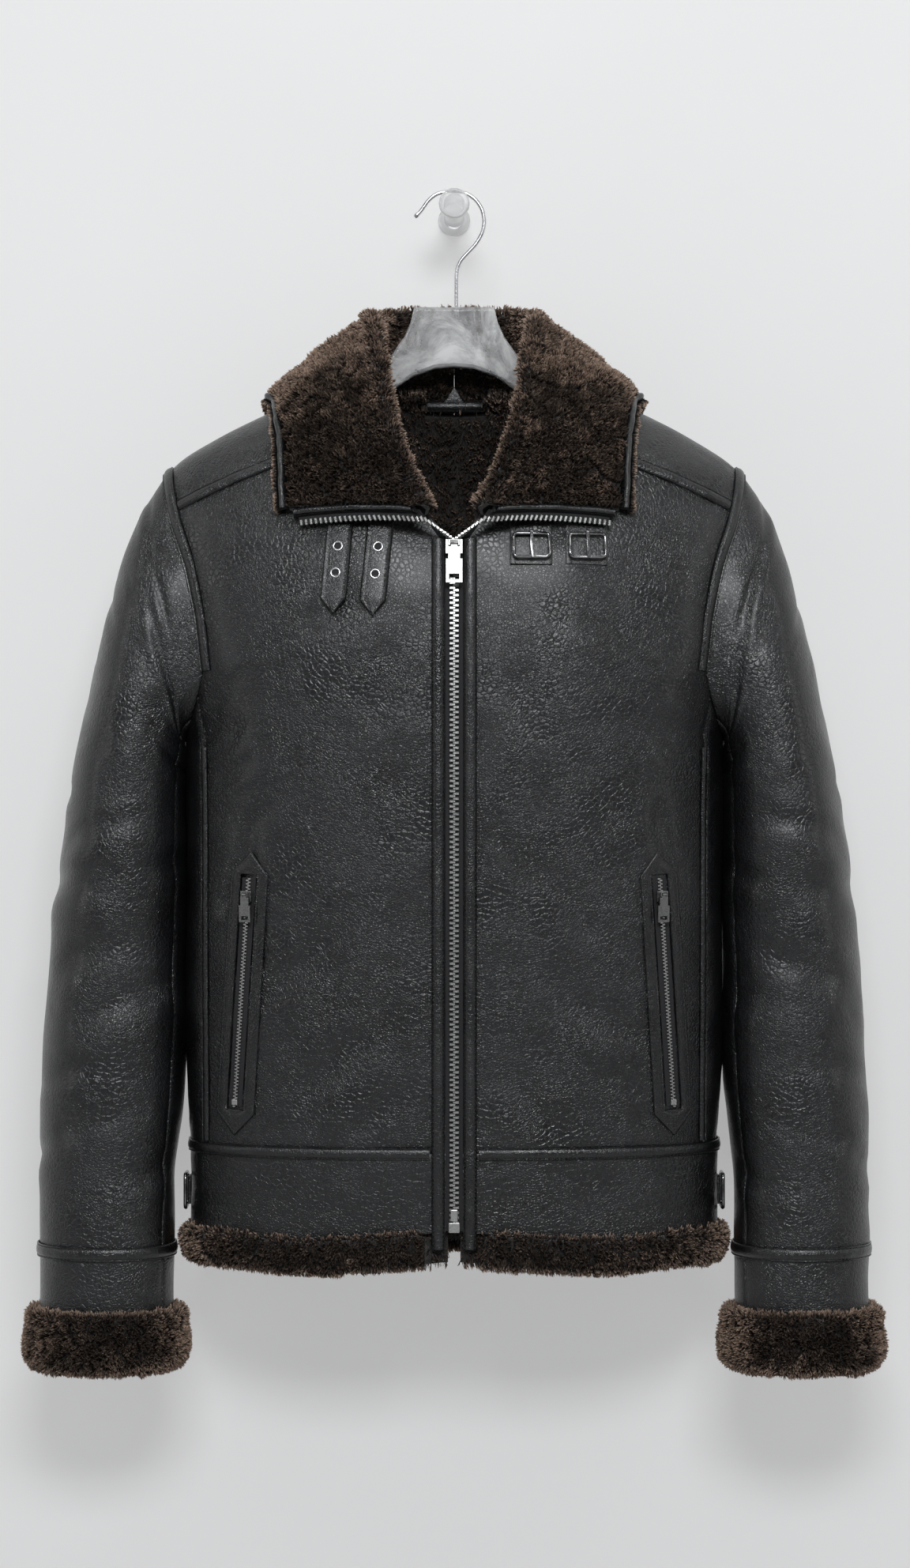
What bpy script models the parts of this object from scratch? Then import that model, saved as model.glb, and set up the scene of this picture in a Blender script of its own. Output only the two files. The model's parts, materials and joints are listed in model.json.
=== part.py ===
"""Sheepskin flying jacket on a clear hanger, hung from a wall peg.

The origin is the centre of the peg's flat back face. +X is the viewer's right, +Y points into
the wall and +Z is up. "Left" and "right" are the viewer's. Tables are in millimetres, and the
model is in metres.

The body is a tube whose level sections are superellipses. Above the underarm it closes to a
shoulder ridge. A point of it is named by an angle round the section (0 at the centre line, 90 at
the side), a height and a side (front or back). Panels are patches of that surface with a wall
inside, and whatever is sewn on a panel is made from points of the same surface, moved out.
"""
import bpy
import bmesh
import numpy as np
from math import asin, cos, degrees, pi, radians, sin

MM = 0.001
FRONT, BACK = -1, 1
SIDES = (("left", -1), ("right", 1))

# Cloth and clearances, mm
WALL = 6.0
SEAM_GAP = 0.36
LIFT = 0.45

# Body sections, mm: height, half width, front depth, back depth
BODY_CENTRE_Y = -100.0
BODY_ROUNDNESS = 2.4
BODY = (
    (-820, 198.5, 84, 77),
    (-770, 198.5, 86, 78),
    (-711, 198.5, 91, 80),
    (-600, 199, 98, 84),
    (-500, 199.5, 103, 86),
    (-405, 200.5, 106, 87),
    (-385, 204.5, 106, 87),
    (-359, 208.5, 106, 87),
    (-324, 213, 105, 86),
    (-279, 223.6, 103, 84),
    (-244, 237, 99, 82),
    (-209, 244.9, 96, 80),
    (-110, 250, 80, 66),
)
# Shoulder ridge, mm: distance from the centre line, height
RIDGE = ((0, -114), (78, -133), (130, -156), (161, -171), (183, -183), (203, -195), (219, -209), (240, -226))
CLOSE_START = -360.0
CLOSE_POWER = 2.2

# Armhole loop: angle on the body section, top and bottom heights (mm), steps round it
ARMHOLE_ANGLE = 61.0
ARMHOLE_TOP, ARMHOLE_BOTTOM = -209.0, -405.0
LOOP_STEPS = 24
LOOP_DIP = 120.0
YOKE_STEP, SIDE_STEP, UNDERARM_STEP = 3, 9, 12

# Seams, mm
WAIST_Z = -711.0
SIDE_ANGLE = 66.0
EDGE_X = 6.4
PLACKET_EDGE_X = 17.0
WAIST_COLUMNS = (EDGE_X, PLACKET_EDGE_X, 38, 62, 86, 109, 131, 151, 168, 179.5)
FRONT_NECK = ((EDGE_X, -257), (PLACKET_EDGE_X, -245), (31, -227), (46, -206), (58, -184))
BACK_NECK = ((0.0, -157), (15, -156.5), (30, -155.5), (44, -152.5), (57, -149))
SHOULDER_NECK = ((58, -184, FRONT), (68, -163, FRONT), (75, -145.5, FRONT), (78.5, None, FRONT),
                 (76, -141, BACK), (68, -145.5, BACK), (57, -149, BACK))
BAND_ROWS = 2
# Lower edge of the waistband, mm: distance from the centre line, height
BAND_FRONT_EDGE = ((0, -768), (60, -773), (115, -776), (170, -772.5), (199, -773))
BAND_BACK_Z = -775.0
PLACKET_END_Z = -781.0
HEM_REACH = 1.8
# Limits of the hem's fur at its front end, mm: out from the cloth's face, up from its edge
HEM_FRONT = ((-1.3, -0.5), (-1.3, -0.5), (9, -0.5))
HEM_SPREAD = 0.3

# Sleeve rings, mm: step, outer x, outer z, inner x, inner z, centre y, front and back half depth
SLEEVE = (
    (0, 219, -209, 200.5, -405, -104, 58, 50),
    (1, 238, -240, 203, -409, -103, 59, 52),
    (2, 252.5, -282, 203.8, -414, -102, 61, 55),
    (3, 264, -325, 204, -421, -101, 63, 58),
    (4, 275, -371, 204, -431, -100, 65, 61),
    (5, 286, -425, 204, -447, -100, 66, 63),
    (6, 294.5, -474, 204, -480, -100, 66, 64),
    (7, 301, -528, 204, -530, -100, 63, 62),
    (8, 306, -585, 204.3, -585, -101, 60, 58),
    (9, 309.8, -642, 205, -642, -103, 57, 54),
    (10, 311.4, -700, 207, -700, -106, 54, 51),
    (11, 311.5, -767, 210.5, -767, -110, 50, 47),
    (12, 311.2, -834.5, 211, -834.5, -114, 46, 44),
)
SLEEVE_ROUNDNESS = 2.2
SLEEVE_RINGS = 15
SLEEVE_GAP = 1.15
HEAD_BLEND = 4.5
HEAD_TURN = 2.6
SLEEVE_FRONT_STEP, SLEEVE_BACK_STEP = 10, 15
CUFF_STRIP_STEPS = (11.22, 11.42)

# Fur sections, mm: out from the cloth's face, up from its lower edge
HEM_FUR = ((0.6, 4.5), (6.5, 2), (9, -10), (3, -24), (-6, -27.5), (-15.5, -21),
           (-17, -7), (-8, -0.5), (0.3, -0.5))
CUFF_FUR = ((0.6, 5), (8, 3), (10.5, -2), (8.6, -9), (11.5, -13), (10, -38), (0, -46),
            (-11, -40), (-12, -8), (-7, -0.5), (0.6, -0.5))

# Collar stations, mm: base x, z, side; roll x, y, z; outer edge x, z, side; lift of the leaf's middle
# off the shoulder, or None where the leaf hangs free
COLLAR = (
    (19, -243, FRONT, 19, -213, -238, 119, -241.5, FRONT, 11),
    (31, -227, FRONT, 27, -207, -221, 120, -222, FRONT, 12),
    (46, -206, FRONT, 37, -199, -197, 121, -200, FRONT, 13),
    (58, -184, FRONT, 44, -185, -173, 123, -182, FRONT, 14),
    (68, -163, FRONT, 49, -166, -148, 125.5, -166, FRONT, 15),
    (75, -145.5, FRONT, 53.5, -141, -120, 128, -157, FRONT, 16),
    (78.5, None, FRONT, 58.5, -113, -96, 131, None, FRONT, 17),
    (76, -141, BACK, 62, -86, -83, 129, -163, BACK, None),
    (57, -149, BACK, 55, -60, -79, 108, -182, BACK, None),
    (30, -155.5, BACK, 32, -41, -76.5, 60, -196, BACK, None),
    (0.3, -157, BACK, 0.3, -33, -75, 0.3, -200, BACK, None),
)
COLLAR_THICK = 10.0
COLLAR_COLUMNS = 12
LEAF_LIFT, FREE_LIFT, FREE_EDGE_LIFT = 7.2, 4.0, 11.0
RIDGE_STATION = 6
STAND_POINTS, FOLD_POINTS, LEAF_POINTS = 3, 5, 6
FOLD_RADIUS = 6.5

COLOURS = {
    "leather": ((0.018, 0.018, 0.021), 0.42, 0.0),
    "trim": ((0.014, 0.014, 0.016), 0.38, 0.0),
    "fur": ((0.075, 0.052, 0.038), 0.9, 0.0),
    "nickel": ((0.62, 0.61, 0.6), 0.28, 1.0),
    "dark_metal": ((0.09, 0.09, 0.095), 0.25, 1.0),
    "tape": ((0.012, 0.012, 0.013), 0.8, 0.0),
    "acrylic": ((0.86, 0.88, 0.9), 0.08, 0.0),
    "steel": ((0.7, 0.7, 0.71), 0.25, 1.0),
}


def clear_scene():
    for item in list(bpy.data.objects):
        bpy.data.objects.remove(item)


def material(slot):
    found = bpy.data.materials.get(slot)
    if found:
        return found
    colour, roughness, metallic = COLOURS[slot]
    made = bpy.data.materials.new(slot)
    made.use_nodes = True
    shader = made.node_tree.nodes["Principled BSDF"]
    shader.inputs["Base Color"].default_value = (*colour, 1.0)
    shader.inputs["Roughness"].default_value = roughness
    shader.inputs["Metallic"].default_value = metallic
    return made


# Curves through tables

def curve(rows):
    """Smooth function through rows of (parameter, values...), with no overshoot."""
    table = np.array(sorted(rows, key=lambda row: row[0]), float)
    knots, values = table[:, 0], table[:, 1:]
    steps = np.diff(knots)
    slopes = np.diff(values, axis=0) / steps[:, None]
    tangents = np.zeros_like(values)
    tangents[0], tangents[-1] = slopes[0], slopes[-1]
    for i in range(1, len(knots) - 1):
        before, after = slopes[i - 1], slopes[i]
        same = before * after > 0
        mean = np.where(same, 2 * before * after / np.where(same, before + after, 1), 0)
        tangents[i] = mean

    def at(parameter):
        t = min(max(parameter, knots[0]), knots[-1])
        i = min(int(np.searchsorted(knots, t, side="right")) - 1, len(steps) - 1)
        h = steps[i]
        s = (t - knots[i]) / h
        return ((2 * s**3 - 3 * s**2 + 1) * values[i] + (s**3 - 2 * s**2 + s) * h * tangents[i]
                + (3 * s**2 - 2 * s**3) * values[i + 1] + (s**3 - s**2) * h * tangents[i + 1])
    return at


def unit(vector):
    return vector / max(np.linalg.norm(vector), 1e-12)


def mix(a, b, t):
    return a + (b - a) * t


body_section = curve(BODY)
ridge_curve = curve(RIDGE)
sleeve_ring = curve(SLEEVE)
band_front_edge = curve(BAND_FRONT_EDGE)


# The body's surface

def ridge_z(x):
    return float(ridge_curve(abs(x))[0])


def closing(x, z):
    """Share of the full depth left at this place: 1 below the shoulders, 0 on the ridge."""
    t = (z - CLOSE_START) / (ridge_z(x) - CLOSE_START)
    t = min(max(t, 0.0), 1.0)
    return (1 - t**CLOSE_POWER) ** (1 / CLOSE_POWER)


def angle_of(x, z):
    half_width = body_section(z)[0]
    return degrees(asin(min(abs(x) / half_width, 1.0) ** (BODY_ROUNDNESS / 2)))


def x_of(angle, z):
    return body_section(z)[0] * sin(radians(angle)) ** (2 / BODY_ROUNDNESS)


def body_point(angle, z, side):
    half_width, front, back = body_section(z)
    x = x_of(angle, z)
    depth = front if side == FRONT else back
    across = max(cos(radians(angle)), 0.0) ** (2 / BODY_ROUNDNESS)
    return np.array([x, BODY_CENTRE_Y + side * depth * across * closing(x, z), z])


def body_level(point):
    """Zero on the surface and larger outside it."""
    x, y, z = point
    half_width, front, back = body_section(z)
    depth = front if y < BODY_CENTRE_Y else back
    across = min(abs(x) / half_width, 0.9999) ** BODY_ROUNDNESS
    rise = (z - CLOSE_START) / (ridge_z(x) - CLOSE_START)
    off_centre = abs(y - BODY_CENTRE_Y)
    if rise <= 0:
        return across + (off_centre / depth) ** BODY_ROUNDNESS - 1
    full = depth * (1 - across) ** (1 / BODY_ROUNDNESS)
    return (off_centre / full) ** CLOSE_POWER + rise**CLOSE_POWER - 1


def body_normal(point):
    step = 0.05
    slope = [body_level(point + step * axis) - body_level(point - step * axis) for axis in np.eye(3)]
    return unit(np.array(slope))


def folds(x, z, side):
    """Broad hollows and swells of the hung cloth, mm outwards."""
    swell = 1.6 * np.exp(-((x - 95) / 60) ** 2 - ((z + 360) / 90) ** 2)
    drag = -1.6 * np.exp(-((x - 0.32 * (z + 700) - 50) / 22) ** 2 - ((z + 610) / 90) ** 2)
    side_fold = -1.2 * np.exp(-((x - 165) / 22) ** 2 - ((z + 470) / 80) ** 2)
    back_fold = -1.8 * np.exp(-((x - 120) / 35) ** 2 - ((z + 520) / 130) ** 2)
    return swell + drag + side_fold if side == FRONT else swell + back_fold


def skin(angle, z, side):
    """Outer point of the body and its outward direction."""
    point = body_point(angle, z, side)
    normal = body_normal(point)
    return point + normal * folds(point[0], z, side), normal


def skin_x(x, z, side):
    """The same by distance from the centre line; a height of None means the ridge."""
    if z is None:
        z = ridge_z(x)
    return skin(angle_of(x, z), z, side)


def loop_place(step):
    """Angle, height and side of the armhole loop; step 0 is the shoulder, half way is the underarm."""
    turn = 360.0 * (step % LOOP_STEPS) / LOOP_STEPS
    side = FRONT if turn <= 180 else BACK
    turn = min(turn, 360 - turn)
    middle, reach = (ARMHOLE_TOP + ARMHOLE_BOTTOM) / 2, (ARMHOLE_TOP - ARMHOLE_BOTTOM) / 2
    dip = max(0.0, (turn - LOOP_DIP) / (180 - LOOP_DIP))
    return ARMHOLE_ANGLE + (90 - ARMHOLE_ANGLE) * dip**1.3, middle + reach * cos(radians(turn)), side


def loop_skin(step):
    return skin(*loop_place(step))


# Turning points into objects

def add_object(name, verts, faces, slot, smooth=40.0):
    mesh = bpy.data.meshes.new(name)
    mesh.from_pydata([tuple(np.asarray(v) * MM) for v in verts], [], [tuple(f) for f in faces])
    work = bmesh.new()
    work.from_mesh(mesh)
    bmesh.ops.recalc_face_normals(work, faces=work.faces)
    work.to_mesh(mesh)
    work.free()
    mesh.shade_smooth()
    mesh.set_sharp_from_angle(angle=radians(smooth))
    made = bpy.data.objects.new(name, mesh)
    made.data.materials.append(material(slot))
    bpy.context.collection.objects.link(made)
    return made


def mirrored(points, sign):
    return np.asarray(points, float) * np.array([sign, 1, 1])


def wall_cells(name, outer, inner, cells, slot, sign=1, gap=SEAM_GAP):
    """A thick sheet: outer and inner points, and quads by index. Its free edges are closed and
    drawn in by half a seam gap."""
    outer, inner = np.array(outer, float), np.array(inner, float)
    count = {}
    for cell in cells:
        for a, b in zip(cell, cell[1:] + cell[:1]):
            count.setdefault(frozenset((a, b)), []).append((a, b, cell))
    rim = [uses[0] for uses in count.values() if len(uses) == 1]
    inward = {}
    for a, b, cell in rim:
        along = unit(outer[b] - outer[a])
        towards = outer[list(cell)].mean(axis=0) - (outer[a] + outer[b]) / 2
        square = unit(towards - along * np.dot(towards, along))
        inward.setdefault(a, []).append(square)
        inward.setdefault(b, []).append(square)
    for index, squares in inward.items():
        direction = unit(np.sum(squares, axis=0))
        move = direction * (gap / 2) / max(np.dot(direction, squares[0]), 0.4)
        outer[index] += move
        inner[index] += move
    total = len(outer)
    faces = [list(cell) for cell in cells] + [[total + i for i in reversed(cell)] for cell in cells]
    faces += [[b, a, total + a, total + b] for a, b, _ in rim]
    points = mirrored(np.vstack([outer, inner]), sign)
    used = sorted({i for face in faces for i in face})
    place = {old: new for new, old in enumerate(used)}
    return add_object(name, points[used], [[place[i] for i in face] for face in faces], slot)


def grid_cells(columns, rows, wrap=False, keep=lambda i, j: True):
    """Quads of a grid of (columns + 1) by (rows + 1) points, or a tube of columns points."""
    width = columns if wrap else columns + 1
    cells = []
    for j in range(rows):
        for i in range(columns):
            k = (i + 1) % width
            if keep(i, j):
                cells.append([j * width + i, j * width + k, (j + 1) * width + k, (j + 1) * width + i])
    return cells


def loft(name, rings, slot, sign=1, closed=False):
    """One body through rings of points, closed round or capped at its ends."""
    size = len(rings[0])
    faces = []
    for j in range(len(rings) if closed else len(rings) - 1):
        k = (j + 1) % len(rings)
        for i in range(size):
            n = (i + 1) % size
            faces.append([j * size + i, j * size + n, k * size + n, k * size + i])
    if not closed:
        faces.append(list(range(size)))
        faces.append([(len(rings) - 1) * size + i for i in range(size)])
    return add_object(name, mirrored([v for ring in rings for v in ring], sign), faces, slot)


def sweep(name, frames, section, slot, sign=1, closed=False):
    """A closed section carried along frames of (point, across, out)."""
    rings = [[point + a * across + b * out for a, b in section] for point, across, out in frames]
    return loft(name, rings, slot, sign, closed)


def frames_along(places, flip=1):
    """Frames for sweep from (point, out) pairs, with the across direction square to the path."""
    points = [p for p, _ in places]
    frames = []
    for i, (point, out) in enumerate(places):
        ahead = points[min(i + 1, len(points) - 1)] - points[max(i - 1, 0)]
        across = unit(np.cross(unit(ahead), out)) * flip
        frames.append((point, across, unit(out)))
    return frames


def strip_section(width, thick, lift=LIFT):
    half = width / 2
    return ((-half, lift), (half, lift), (half, lift + 0.6 * thick), (0, lift + thick), (-half, lift + 0.6 * thick))


def block(centre, size):
    """Corners and faces of an upright box, mm."""
    centre, half = np.array(centre, float), np.array(size, float) / 2
    verts = [centre + half * np.array(c) for c in
             ((-1, -1, -1), (1, -1, -1), (1, 1, -1), (-1, 1, -1), (-1, -1, 1), (1, -1, 1), (1, 1, 1), (-1, 1, 1))]
    faces = [(0, 3, 2, 1), (4, 5, 6, 7), (0, 1, 5, 4), (1, 2, 6, 5), (2, 3, 7, 6), (3, 0, 4, 7)]
    return verts, faces


def rod(centre, axis, radius, length, sides=12):
    """Corners and faces of a cylinder along x, y or z, mm."""
    along = np.eye(3)["xyz".index(axis)]
    first, second = np.eye(3)[("xyz".index(axis) + 1) % 3], np.eye(3)[("xyz".index(axis) + 2) % 3]
    centre = np.array(centre, float)
    verts = []
    for end in (-0.5, 0.5):
        for i in range(sides):
            turn = 2 * pi * i / sides
            verts.append(centre + along * end * length + radius * (cos(turn) * first + sin(turn) * second))
    faces = [[i, (i + 1) % sides, sides + (i + 1) % sides, sides + i] for i in range(sides)]
    faces += [list(range(sides)), list(range(sides, 2 * sides))]
    return verts, faces


def apply_boolean(made, operation, shapes):
    """Join shapes to an object, or cut them from it."""
    for verts, faces in shapes:
        helper = add_object("helper", verts, faces, made.data.materials[0].name)
        change = made.modifiers.new(operation, "BOOLEAN")
        change.operation = operation
        change.object = helper
        change.solver = "EXACT"
        bpy.context.view_layer.update()
        result = bpy.data.meshes.new_from_object(made.evaluated_get(bpy.context.evaluated_depsgraph_get()))
        made.modifiers.clear()
        made.data = result
        bpy.data.objects.remove(helper)
    return made


def combine(name, slot, base, joins=(), cuts=()):
    """One body from a base shape, with shapes joined to it and others cut from it."""
    made = add_object(name, base[0], base[1], slot)
    apply_boolean(made, "UNION", joins)
    return apply_boolean(made, "DIFFERENCE", cuts)


def place(made, origin_mm, parent=None):
    """Move an object's origin to a point, keeping its shape where it is."""
    shift = np.array(origin_mm, float) * MM
    for vertex in made.data.vertices:
        vertex.co = [vertex.co[k] - shift[k] for k in range(3)]
    made.location = shift
    if parent:
        bpy.context.view_layer.update()
        made.parent = parent
        made.matrix_parent_inverse = parent.matrix_world.inverted()
    return made


# Body panels

def patch(bottom, right, top, left):
    """Rows of points between four edges of one plane patch; each edge is a list of pairs."""
    bottom, right, top, left = (np.array(edge, float) for edge in (bottom, right, top, left))
    columns, rows = len(bottom) - 1, len(right) - 1
    grid = []
    for j in range(rows + 1):
        v = j / rows
        for i in range(columns + 1):
            u = i / columns
            edges = mix(bottom[i], top[i], v) + mix(left[j], right[j], u)
            corners = mix(mix(bottom[0], bottom[-1], u), mix(top[0], top[-1], u), v)
            grid.append(edges - corners)
    return grid


def waist_angles():
    return [angle_of(x, WAIST_Z) for x in WAIST_COLUMNS] + [SIDE_ANGLE]


def side_heights():
    """Row heights up the side seam, from the waist to the armhole."""
    top = loop_place(SIDE_STEP)[1]
    return [mix(WAIST_Z, top, j / SIDE_STEP) for j in range(SIDE_STEP + 1)]


def panel_edges(side):
    """The four edges of a front or back panel, as (angle, height)."""
    steps = range(SIDE_STEP - 1, YOKE_STEP - 1, -1)
    top_angle = loop_place(SIDE_STEP)[0]
    right = [(mix(SIDE_ANGLE, top_angle, j / SIDE_STEP), z) for j, z in enumerate(side_heights())]
    right += [loop_place(step)[:2] for step in steps]
    neck = FRONT_NECK if side == FRONT else BACK_NECK
    seam = yoke_seam(side)
    top = [(angle_of(x, z), z) for x, z in neck] + [(angle_of(x, z), z) for x, z in seam[1:]]
    share = [(z - right[0][1]) / (right[-1][1] - right[0][1]) for _, z in right]
    low, high = WAIST_Z, neck[0][1]
    left = [(angle_of(neck[0][0], mix(low, high, s)), mix(low, high, s)) for s in share]
    if side == FRONT:
        bottom = [(angle, WAIST_Z) for angle in waist_angles()]
    else:
        columns = len(top) - 1
        bottom = [(SIDE_ANGLE * i / columns, WAIST_Z) for i in range(columns + 1)]
        left = [(0.0, z) for _, z in left]
    bottom[-1] = right[0]
    return bottom, right, top, left


def yoke_seam(side):
    """Points of the yoke's seam from the neck to the armhole, as (x, z)."""
    x0, z0 = (FRONT_NECK if side == FRONT else BACK_NECK)[-1]
    angle, z1, _ = loop_place(YOKE_STEP)
    x1 = x_of(angle, z1)
    steps = 6
    bow = 7.0 if side == FRONT else 10.0
    return [(mix(x0, x1, i / steps), mix(z0, z1, i / steps) + bow * sin(pi * i / steps)) for i in range(steps + 1)]


def make_front(name, sign):
    grid = patch(*panel_edges(FRONT))
    both = [skin(angle, z, FRONT) for angle, z in grid]
    columns = len(FRONT_NECK) + 5
    rows = len(grid) // (columns + 1) - 1
    outer = [p for p, _ in both]
    inner = [p - WALL * n for p, n in both]
    return wall_cells(name, outer, inner, grid_cells(columns, rows), "leather", sign)


def make_back(name, sign):
    """The back, and the strip that goes on round the side to the front's seam."""
    bottom, right, top, left = panel_edges(BACK)
    flat = patch(bottom, right, top, left)
    columns, rows = len(top) - 1, len(right) - 1
    side_columns = 2 * (UNDERARM_STEP - SIDE_STEP)
    outer, inner = [], []
    for j in range(rows + 1):
        for i in range(columns + 1):
            point, normal = skin(*flat[j * (columns + 1) + i], BACK)
            outer.append(point)
            inner.append(point - WALL * normal)
        for i in range(1, side_columns + 1):
            angle, z, side = round_side(i, min(j, SIDE_STEP))
            point, normal = skin(angle, z, side)
            outer.append(point)
            inner.append(point - WALL * normal)
    width = columns + side_columns
    cells = grid_cells(width, rows, keep=lambda i, j: i < columns or j < SIDE_STEP)
    return wall_cells(name, outer, inner, cells, "leather", sign)


def round_side(i, row):
    """Place on the side of the body, i steps from the back's corner towards the front's."""
    half = UNDERARM_STEP - SIDE_STEP
    top_angle, top_z, _ = loop_place(LOOP_STEPS - SIDE_STEP - i)
    share = row / SIDE_STEP
    straight = SIDE_ANGLE + (90 - SIDE_ANGLE) * (1 - abs(i - half) / half)
    side = BACK if i < half else FRONT
    return mix(straight, top_angle, share), mix(WAIST_Z, top_z, share), side


def over_ridge(x, lift_angle):
    """Height and side of the shoulder at x, by an angle over the ridge (90 is the ridge)."""
    rise = sin(radians(lift_angle)) ** (2 / CLOSE_POWER)
    return mix(CLOSE_START, ridge_z(x), rise), FRONT if lift_angle <= 90 else BACK


def ridge_angle(x, z, side):
    rise = 1.0 if z is None else (z - CLOSE_START) / (ridge_z(x) - CLOSE_START)
    turn = degrees(asin(min(max(rise, 0.0), 1.0) ** (CLOSE_POWER / 2)))
    return turn if side == FRONT else 180 - turn


def make_yoke(name, sign):
    def edge(rows):
        return [(x, ridge_angle(x, z, side)) for x, z, side in rows]
    front = edge([(x, z, FRONT) for x, z in yoke_seam(FRONT)])
    back = edge([(x, z, BACK) for x, z in yoke_seam(BACK)])
    arm = []
    for step in range(YOKE_STEP, -YOKE_STEP - 1, -1):
        angle, z, side = loop_place(step)
        side = FRONT if step >= 0 else BACK
        arm.append((x_of(angle, z), z, side))
    arm = edge(arm)
    arm[YOKE_STEP] = (arm[YOKE_STEP][0], 90.0)
    neck = edge(SHOULDER_NECK)
    grid = patch(front, arm, back, neck)
    outer, inner = [], []
    for x, turn in grid:
        z, side = over_ridge(x, turn)
        point, normal = skin_x(x, z, side)
        outer.append(point)
        inner.append(point - WALL * normal)
    return wall_cells(name, outer, inner, grid_cells(len(front) - 1, len(arm) - 1), "leather", sign)


def waist_places():
    """Places round half the waist, from the front edge to the centre back."""
    places = [(angle, FRONT) for angle in waist_angles()]
    half = UNDERARM_STEP - SIDE_STEP
    for i in range(2 * half - 1, 0, -1):
        places.append((SIDE_ANGLE + (90 - SIDE_ANGLE) * (1 - abs(i - half) / half), BACK if i < half else FRONT))
    columns = len(BACK_NECK) + 5
    places += [(SIDE_ANGLE * i / columns, BACK) for i in range(columns, -1, -1)]
    return places


def band_low_z(angle, side):
    if side == BACK:
        return mix(BAND_BACK_Z, -773.0, (angle / 90) ** 4)
    return float(band_front_edge(x_of(angle, -772))[0])


def band_column(angle, side):
    low = band_low_z(angle, side)
    column = []
    for j in range(BAND_ROWS + 1):
        column.append(skin(angle, mix(WAIST_Z, low, j / BAND_ROWS), side))
    return column


def make_waistband():
    half = [band_column(angle, side) for angle, side in waist_places()]
    columns = [[(mirrored(p, -1), mirrored(n, -1)) for p, n in column] for column in half]
    columns += [column for column in reversed(half[:-1])]
    outer = [columns[i][j][0] for j in range(BAND_ROWS + 1) for i in range(len(columns))]
    inner = [columns[i][j][0] - WALL * columns[i][j][1] for j in range(BAND_ROWS + 1) for i in range(len(columns))]
    return wall_cells("waistband", outer, inner, grid_cells(len(columns) - 1, BAND_ROWS), "leather")


def make_hem_fur():
    """The turned fur edge. Behind the plackets it stays inside the cloth's face."""
    half = []
    for index, (angle, side) in enumerate(waist_places()):
        point, normal = skin(angle, band_low_z(angle, side), side)
        out = unit(normal * np.array([1, 1, 0]))
        if index == 0:
            point = point - np.array([HEM_REACH, 0, 0])
        section = HEM_FUR
        if index < len(HEM_FRONT):
            most_out, most_up = HEM_FRONT[index]
            section = [(min(a, most_out - HEM_SPREAD * i), min(b, most_up)) for i, (a, b) in enumerate(HEM_FUR)]
        half.append([point + a * out + np.array([0, 0, b]) for a, b in section])
    left = [[mirrored(p, -1) for p in ring] for ring in half]
    return loft("hem_fur", left + list(reversed(half[:-1])), "fur")


# Sleeves

def sleeve_raw(step, turn):
    outer_x, outer_z, inner_x, inner_z, y, front, back = sleeve_ring(step)
    outer, inner = np.array([outer_x, y, outer_z]), np.array([inner_x, y, inner_z])
    c, s = cos(radians(turn)), sin(radians(turn))
    reach = np.sign(c) * abs(c) ** (2 / SLEEVE_ROUNDNESS)
    depth = (front if s > 0 else back) * abs(s) ** (2 / SLEEVE_ROUNDNESS)
    return (outer + inner) / 2 + (outer - inner) / 2 * reach + np.array([0, -np.sign(s) * depth, 0])


def sleeve_folds(step, turn):
    """Soft creases round the elbow and above the cuff, mm outwards."""
    inside = 0.5 - 0.5 * cos(radians(turn + 20))
    elbow = -1.8 * np.exp(-((step - 7.9) / 0.35) ** 2) - 1.4 * np.exp(-((step - 9.1) / 0.3) ** 2)
    above_cuff = -1.2 * np.exp(-((step - 10.5) / 0.25) ** 2)
    return (elbow + above_cuff) * inside


def sleeve_point(step, turn):
    point = sleeve_raw(step, turn)
    if step < HEAD_BLEND:
        fade = (1 - step / HEAD_BLEND) ** 2
        loop_step = turn / 360 * LOOP_STEPS
        point = point + (loop_skin(loop_step)[0] - sleeve_raw(0, turn)) * fade
    return point


def sleeve_skin(step, turn):
    """Outer point of the sleeve and its outward direction."""
    small_step, small_turn = 0.02, 1.0
    low = max(step - small_step, 0.0)
    along = sleeve_point(step + small_step, turn) - sleeve_point(low, turn)
    around = sleeve_point(step, turn + small_turn) - sleeve_point(step, turn - small_turn)
    normal = unit(np.cross(around, along))
    point = sleeve_point(step, turn)
    centre = sleeve_raw(step, 0) / 2 + sleeve_raw(step, 180) / 2
    if np.dot(normal, point - centre) < 0:
        normal = -normal
    if step < HEAD_TURN:
        body_out = loop_skin(turn / 360 * LOOP_STEPS)[1]
        facing = min(max(np.dot(body_out, normal) / 0.6, 0.0), 1.0)
        seam_normal = unit(mix(unit(body_out + normal), body_out, facing))
        normal = unit(mix(seam_normal, normal, step / HEAD_TURN))
    return point + normal * sleeve_folds(step, turn), normal


def sleeve_steps():
    return [12.0 * (k / SLEEVE_RINGS) ** 1.08 for k in range(SLEEVE_RINGS + 1)]


def make_sleeve(name, sign, first, last):
    """The part of the sleeve between two seams, by steps round the armhole."""
    outer, inner = [], []
    for step in sleeve_steps():
        for k in range(first, last + 1):
            point, normal = sleeve_skin(step, 360.0 * k / LOOP_STEPS)
            outer.append(point)
            inner.append(point - WALL * normal)
    return wall_cells(name, outer, inner, grid_cells(last - first, SLEEVE_RINGS), "leather", sign,
                      SLEEVE_GAP)


def cuff_frames(step):
    frames = []
    for k in range(LOOP_STEPS):
        point, normal = sleeve_skin(step, 360.0 * k / LOOP_STEPS)
        frames.append((point, unit(normal * np.array([1, 1, 0])), np.array([0, 0, 1.0])))
    return frames


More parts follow.
